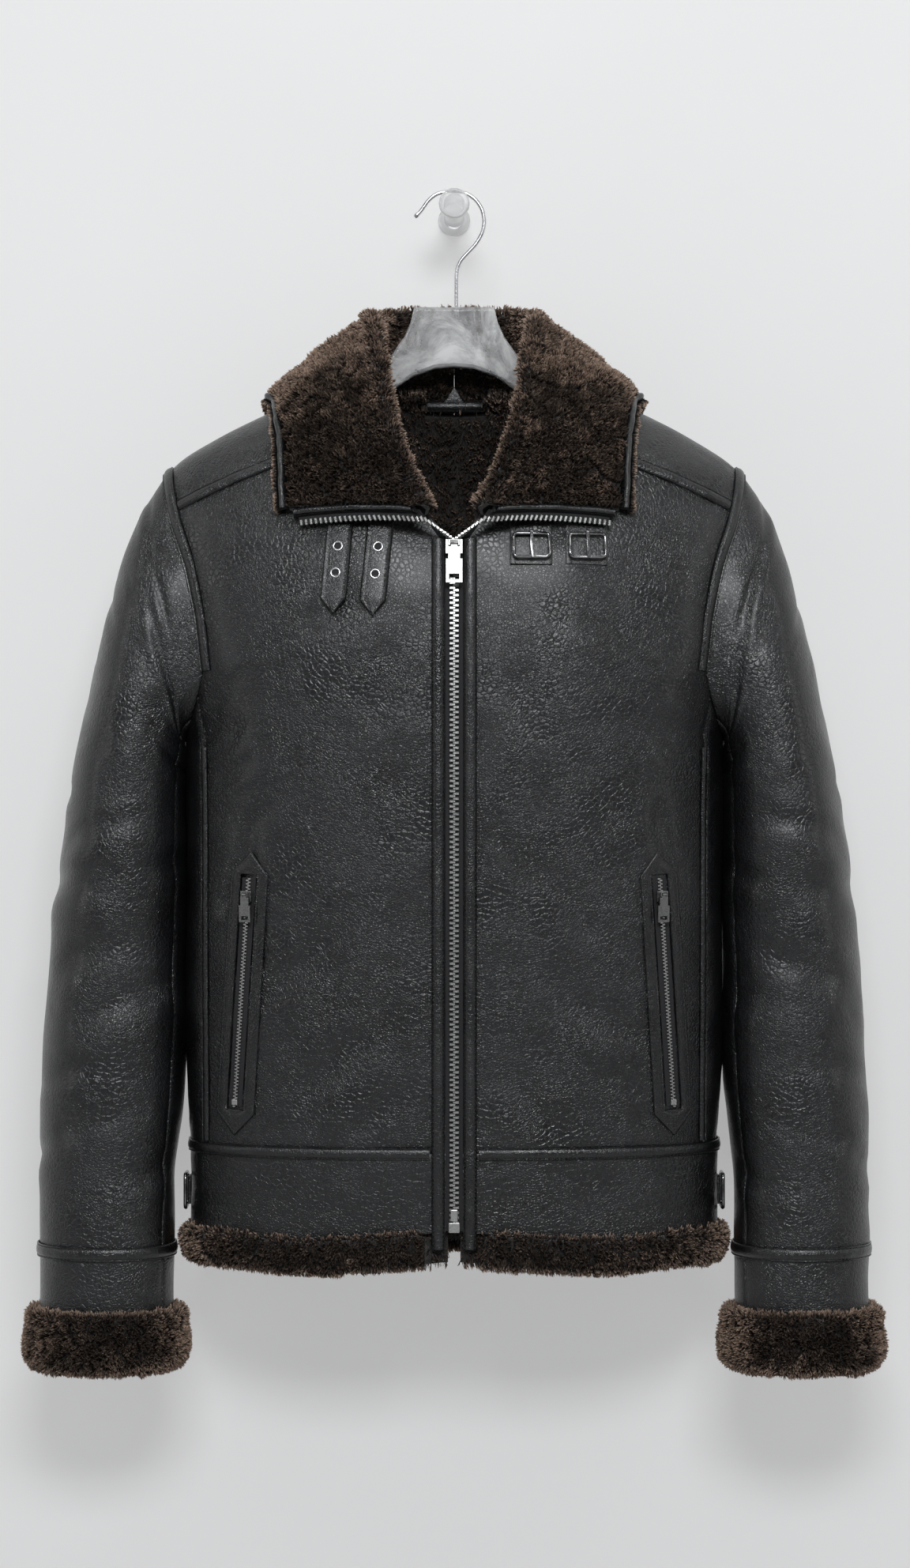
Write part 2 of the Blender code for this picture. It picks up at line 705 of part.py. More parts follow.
def make_cuffs(side_name, sign):
    sweep(f"cuff_fur_{side_name}", cuff_frames(12.0), CUFF_FUR, "fur", sign, closed=True)
    middle = sum(CUFF_STRIP_STEPS) / 2
    places = []
    for k in range(LOOP_STEPS):
        point, normal = sleeve_skin(middle, 360.0 * k / LOOP_STEPS)
        places.append((point, np.array([0, 0, 1.0]), unit(normal)))
    sweep(f"cuff_strip_{side_name}", places, strip_section(10, 1.4, 0.9), "trim", sign, closed=True)


# Strips sewn over the seams

def make_strips(side_name, sign):
    armhole = []
    width = 10.0
    for step in range(-SIDE_STEP + 1, SIDE_STEP):
        point, normal = loop_skin(step)
        after, before = loop_skin(step + 1)[0], loop_skin(step - 1)[0]
        inward = unit(np.cross(normal, after - before))
        if inward[0] > 0:
            inward = -inward
        moved = point + inward * (width / 2 + 0.3)
        height, side = moved[2], FRONT if step > 0 else BACK
        if step == 0:
            seat, out = skin_x(moved[0], None, FRONT)
        else:
            seat, out = skin_x(moved[0], height, side)
            if abs(seat[1] - point[1]) > width:
                seat, out = moved, normal
        armhole.append((seat, out))
    sweep(f"armhole_strip_{side_name}", frames_along(armhole), strip_section(width - 1, 1.6), "trim", sign)

    seam = [skin_x(x, z, FRONT) for x, z in yoke_seam(FRONT)]
    run = seam_run(seam, 0.46, 0.935)
    sweep(f"yoke_strip_{side_name}", frames_along(run), strip_section(9, 1.5, 0.8), "trim", sign)

    rise = side_heights()
    side_places = [skin(SIDE_ANGLE, z, FRONT) for z in [WAIST_Z + 6] + rise[1:-1]]
    sweep(f"side_strip_{side_name}", frames_along(side_places), strip_section(7, 1.3), "trim", sign)

    waist = [skin(angle, WAIST_Z, side) for angle, side in waist_places()[1:]]
    first, out = waist[0]
    waist[0] = (first + np.array([0.7, 0, 0]), out)
    last, out = waist[-1]
    waist[-1] = (last + np.array([0.3, 0, 0]), out)
    sweep(f"waist_strip_{side_name}", frames_along(waist), strip_section(8.6, 1.5), "trim", sign)


def seam_run(places, start, end, count=7):
    """Points evenly along part of a row of (point, out)."""
    points = np.array([p for p, _ in places])
    outs = np.array([n for _, n in places])
    lengths = np.concatenate([[0], np.cumsum(np.linalg.norm(np.diff(points, axis=0), axis=1))])
    lengths /= lengths[-1]
    run = []
    for k in range(count):
        t = mix(start, end, k / (count - 1))
        point = np.array([np.interp(t, lengths, points[:, axis]) for axis in range(3)])
        out = np.array([np.interp(t, lengths, outs[:, axis]) for axis in range(3)])
        run.append((point, unit(out)))
    return run


def make_placket(side_name, sign):
    """The double-stitched strip down the front edge, from under the collar to below the waistband."""
    heights = [-262.0] + [z for _, z in reversed(panel_edges(FRONT)[3]) if WAIST_Z < z < -275]
    heights += [mix(WAIST_Z, PLACKET_END_Z, j / BAND_ROWS) for j in range(BAND_ROWS + 1)]
    places = [skin_x(11.7, z, FRONT) for z in heights]
    sweep(f"placket_{side_name}", frames_along(places), strip_section(9.6, 1.7), "trim", sign)


# Collar

def collar_rails():
    rails = []
    for index, row in enumerate(COLLAR):
        base_x, base_z, base_side, roll_x, roll_y, roll_z, edge_x, edge_z, edge_side, lift = row
        base, base_out = skin_x(base_x, base_z, base_side)
        edge, edge_out = skin_x(edge_x, edge_z, edge_side)
        roll = np.array([roll_x, roll_y, roll_z], float)
        lean = float(np.dot(unit(roll - base), base_out))
        base = base + base_out * (0.6 + WALL / 2 * np.sqrt(max(1 - lean**2, 0.0)))
        edge_point = edge + edge_out * (LEAF_LIFT if index < RIDGE_STATION else FREE_EDGE_LIFT)
        mid_x = mix(base_x, edge_x, 0.55)
        turn = mix(ridge_angle(base_x, base_z, base_side), ridge_angle(edge_x, edge_z, edge_side), 0.55)
        mid_z, mid_side = over_ridge(mid_x, turn)
        mid, mid_out = skin_x(mid_x, mid_z, mid_side)
        mid_point = (roll + edge_point) / 2 + edge_out * FREE_LIFT if lift is None else mid + mid_out * lift
        rails.append((index, *base, *roll, *mid_point, *edge_point))
    return curve(rails)


def collar_profile(rails, t):
    """Points up the stand, over the fold and down the leaf."""
    row = rails(t * (len(COLLAR) - 1))
    base, roll, mid, edge = row[0:3], row[3:6], row[6:9], row[9:12]
    outward = unit(mid - roll)
    up = roll - base
    rise = unit(up - outward * np.dot(up, outward))
    centre = roll + outward * FOLD_RADIUS - rise * FOLD_RADIUS
    points = []
    start = centre - outward * FOLD_RADIUS
    for k in range(STAND_POINTS):
        points.append(mix(base, start, k / STAND_POINTS))
    for k in range(FOLD_POINTS):
        turn = pi * (1 - 0.8 * k / (FOLD_POINTS - 1))
        points.append(centre + FOLD_RADIUS * (cos(turn) * outward + sin(turn) * rise))
    last = points[-1]
    for k in range(1, LEAF_POINTS + 1):
        s = k / LEAF_POINTS
        hump = mid - (last + edge) / 2
        points.append(mix(last, edge, s) + hump * 4 * s * (1 - s))
    return np.array(points)


def grid_normals(grid):
    """Normals of a grid of points from its neighbours; grid is rows by columns by 3."""
    along = np.gradient(grid, axis=0)
    across = np.gradient(grid, axis=1)
    normal = np.cross(along, across)
    return normal / np.linalg.norm(normal, axis=2)[:, :, None]


def make_collar(name, sign):
    rails = collar_rails()
    shares = [k / COLLAR_COLUMNS for k in range(COLLAR_COLUMNS + 1)]
    centre = np.array([collar_profile(rails, t) for t in shares])
    normal = grid_normals(centre)
    if np.mean(normal[:5, -3, 1]) > 0:
        normal = -normal
    rows, size = centre.shape[:2]
    half = np.full(size, COLLAR_THICK / 2)
    half[:2] = WALL / 2, 4.2
    outer = centre + normal * half[None, :, None]
    inner = centre - normal * half[None, :, None]
    outer[-1, :, 0] = inner[-1, :, 0] = 0.0
    outer, inner = outer.reshape(-1, 3), inner.reshape(-1, 3)
    return wall_cells(name, outer, inner, grid_cells(size - 1, rows - 1), "fur", sign)


def collar_edge_places(rails, t, past):
    """Point just beyond the leaf's outer edge and the way out of the leaf there."""
    profile = collar_profile(rails, t)
    along = unit(profile[-1] - profile[-2])
    before, after = collar_profile(rails, max(t - 0.02, 0)), collar_profile(rails, min(t + 0.02, 1))
    out = unit(np.cross(after[-1] - before[-1], along))
    body_out = profile[-1] - np.array([0, BODY_CENTRE_Y, -300])
    if np.dot(out, body_out) < 0:
        out = -out
    return profile[-1] + along * past, along, out


def make_collar_binding(name, sign):
    rails = collar_rails()
    frames = []
    for k in range(COLLAR_COLUMNS + 1):
        t = k / COLLAR_COLUMNS
        point, along, out = collar_edge_places(rails, t, 0.85)
        if k == COLLAR_COLUMNS:
            flat = np.array([0, 1, 1])
            point, along, out = point * flat + np.array([SEAM_GAP, 0, 0]), unit(along * flat), unit(out * flat)
        frames.append((point, along, out))
    section = ((0, -4.6), (6, -4.2), (8, -1), (8, 2), (5, 4.4), (0, 4.6))
    return sweep(name, frames, section, "trim", sign)


def front_end(share):
    """Point, direction along and way out at the leaf's front end, from the roll to the outer edge."""
    rails = collar_rails()
    profile = collar_profile(rails, 0.0)
    nearby = collar_profile(rails, 0.03)
    first = STAND_POINTS + 2
    stretch = profile[first:]
    inside = nearby[first:]
    place_at = share * (len(stretch) - 1)
    k = min(int(place_at), len(stretch) - 2)
    point = mix(stretch[k], stretch[k + 1], place_at - k)
    further = mix(inside[k], inside[k + 1], place_at - k)
    down = unit(point - further)
    along = unit(stretch[k + 1] - stretch[k])
    out = unit(np.cross(along, down))
    if out[1] > 0:
        out = -out
    return point, unit(down), out


FACING_DROP = 7.0


def make_collar_facing(name, sign):
    frames = [front_end(share) for share in (0.18, 0.28, 0.4, 0.54, 0.68, 0.84, 0.97)]
    section = ((0.9, -4), (FACING_DROP, -3), (FACING_DROP, 3), (0.9, 4))
    return sweep(name, frames, section, "trim", sign)


# Zips

ZIP_BOTTOM_Z = -768.0
ZIP_TOP_Z = -262.0
CHAIN_HALF = 3.7
TAPE_HALF = 6.0
ZIP_RUNS = 12


def zip_section(chain, tape):
    """Half of a chain with its tape; x is away from the chain's middle."""
    return ((0.17, -1.5), (chain, -1.5), (chain, -0.5), (tape, -0.5), (tape, 0.5), (chain, 0.5), (chain, 1.5),
            (0.17, 1.5))


def zip_places():
    """The closed stretch up the front, then the open one out along the collar's front edge."""
    places = []
    for k in range(ZIP_RUNS + 1):
        z = mix(ZIP_BOTTOM_Z, ZIP_TOP_Z, k / ZIP_RUNS)
        point, out = skin_x(0.0, z, FRONT)
        places.append((point - out * 1.2, np.array([1.0, 0, 0]), out))
    for share in (0.12, 0.22, 0.36, 0.52, 0.68, 0.84, 0.95):
        point, down, out = front_end(share)
        places.append((point + down * (FACING_DROP + TAPE_HALF + 0.5), -down, out))
    joined = places[:ZIP_RUNS + 1]
    last, first = places[ZIP_RUNS], places[ZIP_RUNS + 1]
    for s in (0.3, 0.65):
        point = mix(last[0], first[0], s) + np.array([0, -3.5, 0.5]) * 4 * s * (1 - s)
        joined.append((point, unit(mix(last[1], first[1], s)), unit(mix(last[2], first[2], s))))
    return joined + places[ZIP_RUNS + 1:]


def make_zip(name, sign):
    return sweep(name, zip_places(), zip_section(CHAIN_HALF, TAPE_HALF), "nickel", sign)


# Sliders and pulls, mm at full size: pin's place out from the slider's back and up from its middle
PIN_OUT, PIN_UP, PIN_RADIUS = 4.1, 2.0, 0.7
EYE_RADIUS, EYE_BORE, EYE_LENGTH = 1.7, 1.15, 4.6
CHEEK_X, CHEEK_DEPTH, CHEEK_HEIGHT = 3.4, 3.6, 4.4


def orient(made, seat, across, out):
    """Turn a shape built square to the axes at the origin to lie on a surface at its seat."""
    up = np.cross(across, -out)
    turn = np.array([across, -out, up]).T
    for vertex in made.data.vertices:
        vertex.co = turn @ np.array(vertex.co) + np.array(seat) * MM


def surface_axes(out):
    """Across and out directions on a surface, with across level."""
    across = unit(np.cross(out, [0, 0, -1.0]))
    return (across if across[0] > 0 else -across), out


def pin_place(seat, across, out, size):
    up = np.cross(across, -out)
    return np.array(seat) + out * PIN_OUT * size + up * PIN_UP * size


def make_slider(name, seat, axes, size):
    """A slider's front plate with two cheeks and the cross pin that its pull hangs on."""
    base = block((0, -1.0 * size, 0), (12.5 * size, 2.0 * size, 11 * size))
    middle = -(PIN_OUT - 0.7) * size
    cheek = (1.2 * size, CHEEK_DEPTH * size, CHEEK_HEIGHT * size)
    cheeks = [block((s * CHEEK_X * size, middle, PIN_UP * size), cheek) for s in (-1, 1)]
    pin = rod((0, -PIN_OUT * size, PIN_UP * size), "x", PIN_RADIUS * size, 2.02 * CHEEK_X * size, 10)
    made = combine(name, "nickel", base, joins=[*cheeks, pin])
    orient(made, seat, *axes)
    return made


def make_pull(name, seat, axes, size, drop, width, parent):
    """The flat pull, with the eye that turns on the slider's pin."""
    y, z = -PIN_OUT * size, PIN_UP * size
    eye = rod((0, y, z), "x", EYE_RADIUS * size, EYE_LENGTH * size, 12)
    bore = rod((0, y, z), "x", EYE_BORE * size, 8 * size, 12)
    thick = 1.5 * size
    start = (CHEEK_HEIGHT / 2 + 0.8) * size
    neck_top = (EYE_BORE + 0.2) * size
    neck = block((0, y, z - (neck_top + start + 0.5) / 2), (EYE_LENGTH * size, thick, start + 0.5 - neck_top))
    upper_length, lower_length = 0.42 * drop - start, 0.58 * drop
    upper = block((0, y, z - start - upper_length / 2), (0.72 * width, thick, upper_length))
    lower = block((0, y, z - drop + lower_length / 2), (width, thick * 1.04, lower_length + 0.6))
    window = block((0, y, z - 0.86 * drop), (0.62 * width, 8 * size, 0.14 * drop))
    made = combine(name, "nickel", eye, joins=[neck, upper, lower], cuts=[bore, window])
    orient(made, seat, *axes)
    return place(made, pin_place(seat, *axes, size), parent)


# Pockets, mm: middle of the top and bottom of the welt
POCKET_TOP, POCKET_BOTTOM = (150.3, -507.0), (161.3, -683.0)
WELT_HALF, WELT_POINT, WINDOW_HALF = 14.2, 17.0, 6.2
WELT_RUNS = 6
POCKET_SLIDER_SIZE = 0.72


def pocket_place(along, across):
    """Front point of the body by share down the pocket and distance across it, mm."""
    (x0, z0), (x1, z1) = POCKET_TOP, POCKET_BOTTOM
    length = np.hypot(x1 - x0, z1 - z0)
    down = np.array([x1 - x0, z1 - z0]) / length
    over = np.array([-down[1], down[0]])
    x, z = np.array([x0, z0]) + down * along * length + over * across
    return skin_x(x, z, FRONT)


def make_pocket(side_name, sign):
    outline, window = [], []
    shares = [k / WELT_RUNS for k in range(WELT_RUNS + 1)]
    top, bottom = -WELT_POINT / 176, 1 + WELT_POINT / 176
    outline.append((top, 0.0))
    window.append((0.0, 0.0))
    for share in shares:
        outline.append((share, WELT_HALF))
        window.append((mix(0.0, 0.985, share), WINDOW_HALF))
    outline.append((bottom, 0.0))
    window.append((0.985, 0.0))
    for share in reversed(shares):
        outline.append((share, -WELT_HALF))
        window.append((mix(0.0, 0.985, share), -WINDOW_HALF))
    width = len(outline)
    outer, inner = [], []
    for loop in (outline, window):
        for along, across in loop:
            point, out = pocket_place(along, across)
            inner.append(point + out * LIFT)
            outer.append(point + out * (LIFT + 1.8))
    wall_cells(f"pocket_welt_{side_name}", outer, inner, grid_cells(width, 1, wrap=True), "trim", sign, gap=0)
    places = []
    for share in [mix(0.012, 0.972, k / 8) for k in range(9)]:
        point, out = pocket_place(share, 0.0)
        places.append((point, np.cross(out, [0, 0, 1.0]), out))
    tape, chain = WINDOW_HALF - 0.5, 2.7
    section = ((-tape, LIFT), (tape, LIFT), (tape, 1.2), (chain, 1.2), (chain, 2.6), (-chain, 2.6), (-chain, 1.2),
               (-tape, 1.2))
    sweep(f"pocket_zip_{side_name}", places, section, "nickel", sign)
    seat, out = pocket_place(0.09, 0.0)
    seat = mirrored(seat + out * 3.0, sign)
    axes = surface_axes(mirrored(out, sign))
    slider = make_slider(f"pocket_slider_{side_name}", seat, axes, POCKET_SLIDER_SIZE)
    make_pull(f"pocket_pull_{side_name}", seat, axes, POCKET_SLIDER_SIZE, 20.0, 9.5, slider)


# Straps and buckles under the collar

STRAP_HALF = 9.6
# Straps, mm: name, top x, bottom x, top z, straight end z, point z
STRAPS = (("outer", 83.0, 87.5, -250.0, -305.5, -316.5), ("inner", 53.5, 59.0, -250.0, -307.0, -318.0))
EYELET_SHARES = (0.32, 0.67)
# Buckles, mm: name, middle x
BUCKLES = (("inner", 56.0), ("outer", 96.5))
BUCKLE_TOP, BUCKLE_BOTTOM = -257.5, -278.0
BUCKLE_HALF, BUCKLE_WIRE, BUCKLE_CORNER = 13.3, 1.3, 3.0
TAB_ROWS, TAB_HALF, TAB_THICK = (-249.0, -262.0, -276.0, -280.5), 15.5, 1.8


def make_straps():
    for name, top_x, low_x, top_z, low_z, point_z in STRAPS:
        outer, inner = [], []
        rows = 6
        for j in range(rows + 1):
            share = j / rows
            x, z = mix(top_x, low_x, share), mix(top_z, low_z, share)
            for across in (-1, 0, 1):
                drop = (point_z - low_z) if (across == 0 and j == rows) else 0
                point, out = skin_x(x + across * STRAP_HALF, z + drop, FRONT)
                rise = LIFT + 0.4 + 1.2 * share**2
                inner.append(point + out * rise)
                outer.append(point + out * (rise + 2.2))
        strap = wall_cells(f"collar_strap_{name}", outer, inner, grid_cells(2, rows), "trim", -1, gap=0)
        cutters = []
        for share in EYELET_SHARES:
            point, _ = skin_x(mix(top_x, low_x, share), mix(top_z, low_z, share), FRONT)
            cutters.append(rod((-point[0], point[1] - 2, point[2]), "y", 2.6, 30, 12))
        apply_boolean(strap, "DIFFERENCE", cutters)


def ring_section(radius, sides):
    return [(radius * cos(2 * pi * k / sides), radius * sin(2 * pi * k / sides)) for k in range(sides)]


def frame_path(centre, across, up, out, half_w, half_h):
    """Frames round a rectangle with rounded corners."""
    path = []
    for quarter, (sx, sz) in enumerate(((1, 1), (-1, 1), (-1, -1), (1, -1))):
        for k in range(3):
            turn = radians(90 * quarter + 45 * k)
            a = sx * (half_w - BUCKLE_CORNER) + BUCKLE_CORNER * cos(turn)
            b = sz * (half_h - BUCKLE_CORNER) + BUCKLE_CORNER * sin(turn)
            path.append((centre + across * a + up * b, unit(across * cos(turn) + up * sin(turn)), out))
    return path


def make_buckles():
    """Two open frames with tongues, each on its leather tab, under the right collar leaf."""
    for name, x in BUCKLES:
        outer, inner = [], []
        for z in TAB_ROWS:
            for across in (-TAB_HALF, 0, TAB_HALF):
                point, out = skin_x(x + across, z, FRONT)
                inner.append(point + out * LIFT)
                outer.append(point + out * (LIFT + TAB_THICK))
        wall_cells(f"buckle_tab_{name}", outer, inner, grid_cells(2, len(TAB_ROWS) - 1), "trim", 1, gap=0)
        seat, out = skin_x(x, (BUCKLE_TOP + BUCKLE_BOTTOM) / 2, FRONT)
        across, out = surface_axes(out)
        up = np.cross(across, -out)
        centre = seat + out * (LIFT + TAB_THICK + BUCKLE_WIRE + 1.9)
        half_h = (BUCKLE_TOP - BUCKLE_BOTTOM) / 2 - BUCKLE_WIRE
        path = frame_path(centre, across, up, out, BUCKLE_HALF, half_h)
        made = sweep(f"buckle_frame_{name}", path, ring_section(BUCKLE_WIRE, 6), "dark_metal", closed=True)
        make_prong(f"buckle_prong_{name}", centre + up * half_h, (across, out, up), half_h, made)


def make_prong(name, pivot, axes, half_h, parent):
    """A tongue with an open-sided eye round the frame's top bar, lying over the lower bar."""
    across, out, up = axes
    clear, thick, half, tip = BUCKLE_WIRE + 0.45, 1.05, 1.1, -2 * half_h - BUCKLE_WIRE
    turns = [radians(t) for t in (30, 62, 95, 128, 160)]
    loop = [(clear + 0.1, 0.0), (clear + 0.1, tip), (clear + thick, tip), (clear + thick, 0.0)]
    loop += [((clear + thick) * cos(t), (clear + thick) * sin(t)) for t in turns]
    loop += [(clear * cos(t), clear * sin(t)) for t in reversed(turns)]
    rings = [[pivot + s * half * across + a * out + b * up for a, b in loop] for s in (-1, 1)]
    return place(loft(name, rings, "dark_metal"), pivot, parent)


# Side adjusters, mm

ADJUSTER_Z, ADJUSTER_THICK, ADJUSTER_WIRE = -746.5, 2.2, 1.5

def make_side_adjusters(side_name, sign):
    """A strap round the side of the waistband with a buckle at its front end."""
    places = [skin(angle, ADJUSTER_Z, BACK) for angle in (38, 46, 54, 62, 70, 78, 84)]
    places.append(skin(90, ADJUSTER_Z, FRONT))
    sweep(f"side_strap_{side_name}", frames_along(places), strip_section(22, ADJUSTER_THICK), "trim", sign)
    point = places[-1][0]
    out, across, up = np.array([1.0, 0, 0]), np.array([0, -1.0, 0]), np.array([0, 0, 1.0])
    centre = point + out * (LIFT + ADJUSTER_THICK + ADJUSTER_WIRE - 0.5) + across * 2
    path = frame_path(centre, across, up, out, 11.5, 12.5)
    sweep(f"side_buckle_{side_name}", path, ring_section(ADJUSTER_WIRE, 6), "dark_metal", sign, closed=True)


# Neck loop, hanger and peg

LOOP_HALF = 21.5


def make_neck_loop():
    """The hanging loop, which stands off the back in its middle and meets it at its ends."""
    frames = []
    for x in (-LOOP_HALF, -14, -5, 5, 14, LOOP_HALF):
        to_seam = 2.3 * (x / LOOP_HALF) ** 2
        frames.append((np.array([x, -62.0 + to_seam, -151.5]), np.array([0, 0, 1.0]), np.array([0, -1.0, 0])))
    sweep("neck_loop", frames, ((-4.5, -1.2), (4.5, -1.2), (4.5, 1.0), (0, 1.6), (-4.5, 1.0)), "trim")


HANGER_Y = -80.0
# Half of the hanger, mm: distance from the middle, top z, bottom z, half thickness, y
HANGER = (
    (0, -78.4, -123, 7, -80),
    (15, -78.4, -124.3, 7, -80),
    (30.4, -78.4, -129.8, 7, -80),
    (33.2, -90, -131.5, 7, -80.5),
    (38, -101, -134.8, 7.2, -81),
    (51, -120, -144.5, 8, -83),
    (64, -139, -156, 9, -87),
    (78, -148.5, -166, 10, -91),
    (104, -157, -179, 11.5, -96),
    (130, -168, -190, 12.5, -98.5),
    (160, -183, -202, 13, -100),
    (190, -200.5, -215, 12.5, -100),
)
HOOK = ((-30, -9.4), (-25, -4.5), (-20.3, 2.9), (-14.8, 7.7), (-9.8, 9.6), (-4.9, 9.9), (0, 9.9), (5, 9.6),
        (9.7, 8.7), (16.4, 4.1), (21.4, -3.3), (23.2, -13.1), (21.4, -21.7), (16.4, -30.2), (9.7, -37),
        (4.2, -43.1), (1.8, -49.8), (1.5, -60), (1.5, -78), (1.5, -91.5))
HOOK_RADIUS = 1.5


def make_hanger():
    stations = [(-x, top, low, half, y) for x, top, low, half, y in reversed(HANGER[1:])] + list(HANGER)
    rings = []
    for x, top, low, half, y in stations:
        middle, reach = (top + low) / 2, (top - low) / 2
        ring = []
        for a, b in ((-1, -1), (1, -1), (1, 1), (-1, 1)):
            bevel = 0.35 * half if b > 0 else 2.0
            corner = [(a * half, b * (reach - bevel)), (a * (half - bevel), b * reach)]
            ring += corner if a * b > 0 else corner[::-1]
        rings.append([np.array([x, y + c, middle + d]) for c, d in ring])
    made = loft("hanger_body", rings, "acrylic")
    bore = rod((1.5, HANGER_Y, -78.4), "z", HOOK_RADIUS + 0.4, 27.6, 12)
    return apply_boolean(made, "DIFFERENCE", [bore])


def make_hook():
    frames = []
    points = [np.array([x, HANGER_Y, z]) for x, z in HOOK]
    for i, point in enumerate(points):
        ahead = unit(points[min(i + 1, len(points) - 1)] - points[max(i - 1, 0)])
        frames.append((point, np.cross(ahead, [0, 1.0, 0]), np.array([0, 1.0, 0])))
    return sweep("hanger_hook", frames, ring_section(HOOK_RADIUS, 8), "steel")


# Peg, mm: distance out from the wall, radius
PEG = ((0, 12.5), (3, 12.5), (5, 9.5), (8, 7.8), (82.2, 7.8), (82.6, 11.0), (84, 11.7), (88.5, 11.7), (90, 10.6))
PEG_SIDES = 18


def make_peg():
    rings = []
    for out, radius in PEG:
        turns = [2 * pi * k / PEG_SIDES for k in range(PEG_SIDES)]
        rings.append([np.array([radius * cos(t), -out, radius * sin(t)]) for t in turns])
    return loft("wall_peg", rings, "acrylic")


def build():
    clear_scene()
    for side_name, sign in SIDES:
        make_front(f"front_{side_name}", sign)
        make_yoke(f"yoke_{side_name}", sign)
        make_back(f"back_{side_name}", sign)
        make_sleeve(f"sleeve_under_{side_name}", sign, SLEEVE_FRONT_STEP, SLEEVE_BACK_STEP)
        make_sleeve(f"sleeve_top_{side_name}", sign, SLEEVE_BACK_STEP, SLEEVE_FRONT_STEP + LOOP_STEPS)
        make_cuffs(side_name, sign)
        make_strips(side_name, sign)
        make_placket(side_name, sign)
        make_collar(f"collar_{side_name}", sign)
        make_collar_binding(f"collar_binding_{side_name}", sign)
        make_collar_facing(f"collar_facing_{side_name}", sign)
        make_zip(f"zip_{side_name}", sign)
        make_pocket(side_name, sign)
        make_side_adjusters(side_name, sign)
    make_waistband()
    make_hem_fur()
    seat, out = skin_x(0.0, ZIP_TOP_Z - 6, FRONT)
    axes = surface_axes(out)
    seat = seat + out * 0.8
    slider = make_slider("zip_slider", seat, axes, 1.0)
    make_pull("zip_pull", seat, axes, 1.0, 30.0, 12.0, slider)
    make_straps()
    make_buckles()
    make_neck_loop()
    make_hanger()
    make_hook()
    make_peg()


build()
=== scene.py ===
"""Looks of the sheepskin flying jacket: leather, fur, zips, stitching and the clear hanger."""
import json
from functools import lru_cache
from math import asin, atan, cos, degrees, pi, radians, sin

import bmesh
import bpy
import numpy as np
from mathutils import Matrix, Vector, kdtree

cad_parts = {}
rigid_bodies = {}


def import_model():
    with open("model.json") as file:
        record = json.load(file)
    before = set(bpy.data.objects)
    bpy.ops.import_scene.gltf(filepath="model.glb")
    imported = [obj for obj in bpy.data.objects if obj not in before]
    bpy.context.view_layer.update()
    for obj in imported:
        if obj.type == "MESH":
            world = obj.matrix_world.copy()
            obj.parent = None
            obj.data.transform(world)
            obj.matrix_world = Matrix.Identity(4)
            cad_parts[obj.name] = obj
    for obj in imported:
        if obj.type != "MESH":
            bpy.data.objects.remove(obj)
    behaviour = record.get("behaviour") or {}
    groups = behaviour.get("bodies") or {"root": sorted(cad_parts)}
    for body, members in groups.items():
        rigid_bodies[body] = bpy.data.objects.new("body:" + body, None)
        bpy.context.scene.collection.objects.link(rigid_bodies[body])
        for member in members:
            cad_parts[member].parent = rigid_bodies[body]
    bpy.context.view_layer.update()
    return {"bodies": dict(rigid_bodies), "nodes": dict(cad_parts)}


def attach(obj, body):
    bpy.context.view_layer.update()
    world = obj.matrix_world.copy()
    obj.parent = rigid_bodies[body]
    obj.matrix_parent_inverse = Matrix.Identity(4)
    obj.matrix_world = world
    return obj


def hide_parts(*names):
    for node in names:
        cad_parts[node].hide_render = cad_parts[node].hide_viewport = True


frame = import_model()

# The part's own surface, in mm, as its source states it

MM = 0.001
FRONT, BACK = -1, 1
SIDES = (("left", -1), ("right", 1))
WALL = 6.0
SEAM_GAP = 0.36
LIFT = 0.45
BODY_CENTRE_Y = -100.0
BODY_ROUNDNESS = 2.4
BODY = (
    (-820, 198.5, 84, 77),
    (-770, 198.5, 86, 78),
    (-711, 198.5, 91, 80),
    (-600, 199, 98, 84),
    (-500, 199.5, 103, 86),
    (-405, 200.5, 106, 87),
    (-385, 204.5, 106, 87),
    (-359, 208.5, 106, 87),
    (-324, 213, 105, 86),
    (-279, 223.6, 103, 84),
    (-244, 237, 99, 82),
    (-209, 244.9, 96, 80),
    (-110, 250, 80, 66),
)
RIDGE = ((0, -114), (78, -133), (130, -156), (161, -171), (183, -183), (203, -195), (219, -209), (240, -226))
CLOSE_START = -360.0
CLOSE_POWER = 2.2
ARMHOLE_ANGLE = 61.0
ARMHOLE_TOP, ARMHOLE_BOTTOM = -209.0, -405.0
LOOP_STEPS = 24
LOOP_DIP = 120.0
YOKE_STEP, SIDE_STEP, UNDERARM_STEP = 3, 9, 12
WAIST_Z = -711.0
SIDE_ANGLE = 66.0
EDGE_X = 6.4
PLACKET_EDGE_X = 17.0
WAIST_COLUMNS = (EDGE_X, PLACKET_EDGE_X, 38, 62, 86, 109, 131, 151, 168, 179.5)
FRONT_NECK = ((EDGE_X, -257), (PLACKET_EDGE_X, -245), (31, -227), (46, -206), (58, -184))
BACK_NECK = ((0.0, -157), (15, -156.5), (30, -155.5), (44, -152.5), (57, -149))
SHOULDER_NECK = ((58, -184, FRONT), (68, -163, FRONT), (75, -145.5, FRONT), (78.5, None, FRONT),
                 (76, -141, BACK), (68, -145.5, BACK), (57, -149, BACK))
BAND_FRONT_EDGE = ((0, -768), (60, -773), (115, -776), (170, -772.5), (199, -773))
BAND_BACK_Z = -775.0
PLACKET_END_Z = -781.0
HEM_REACH = 1.8
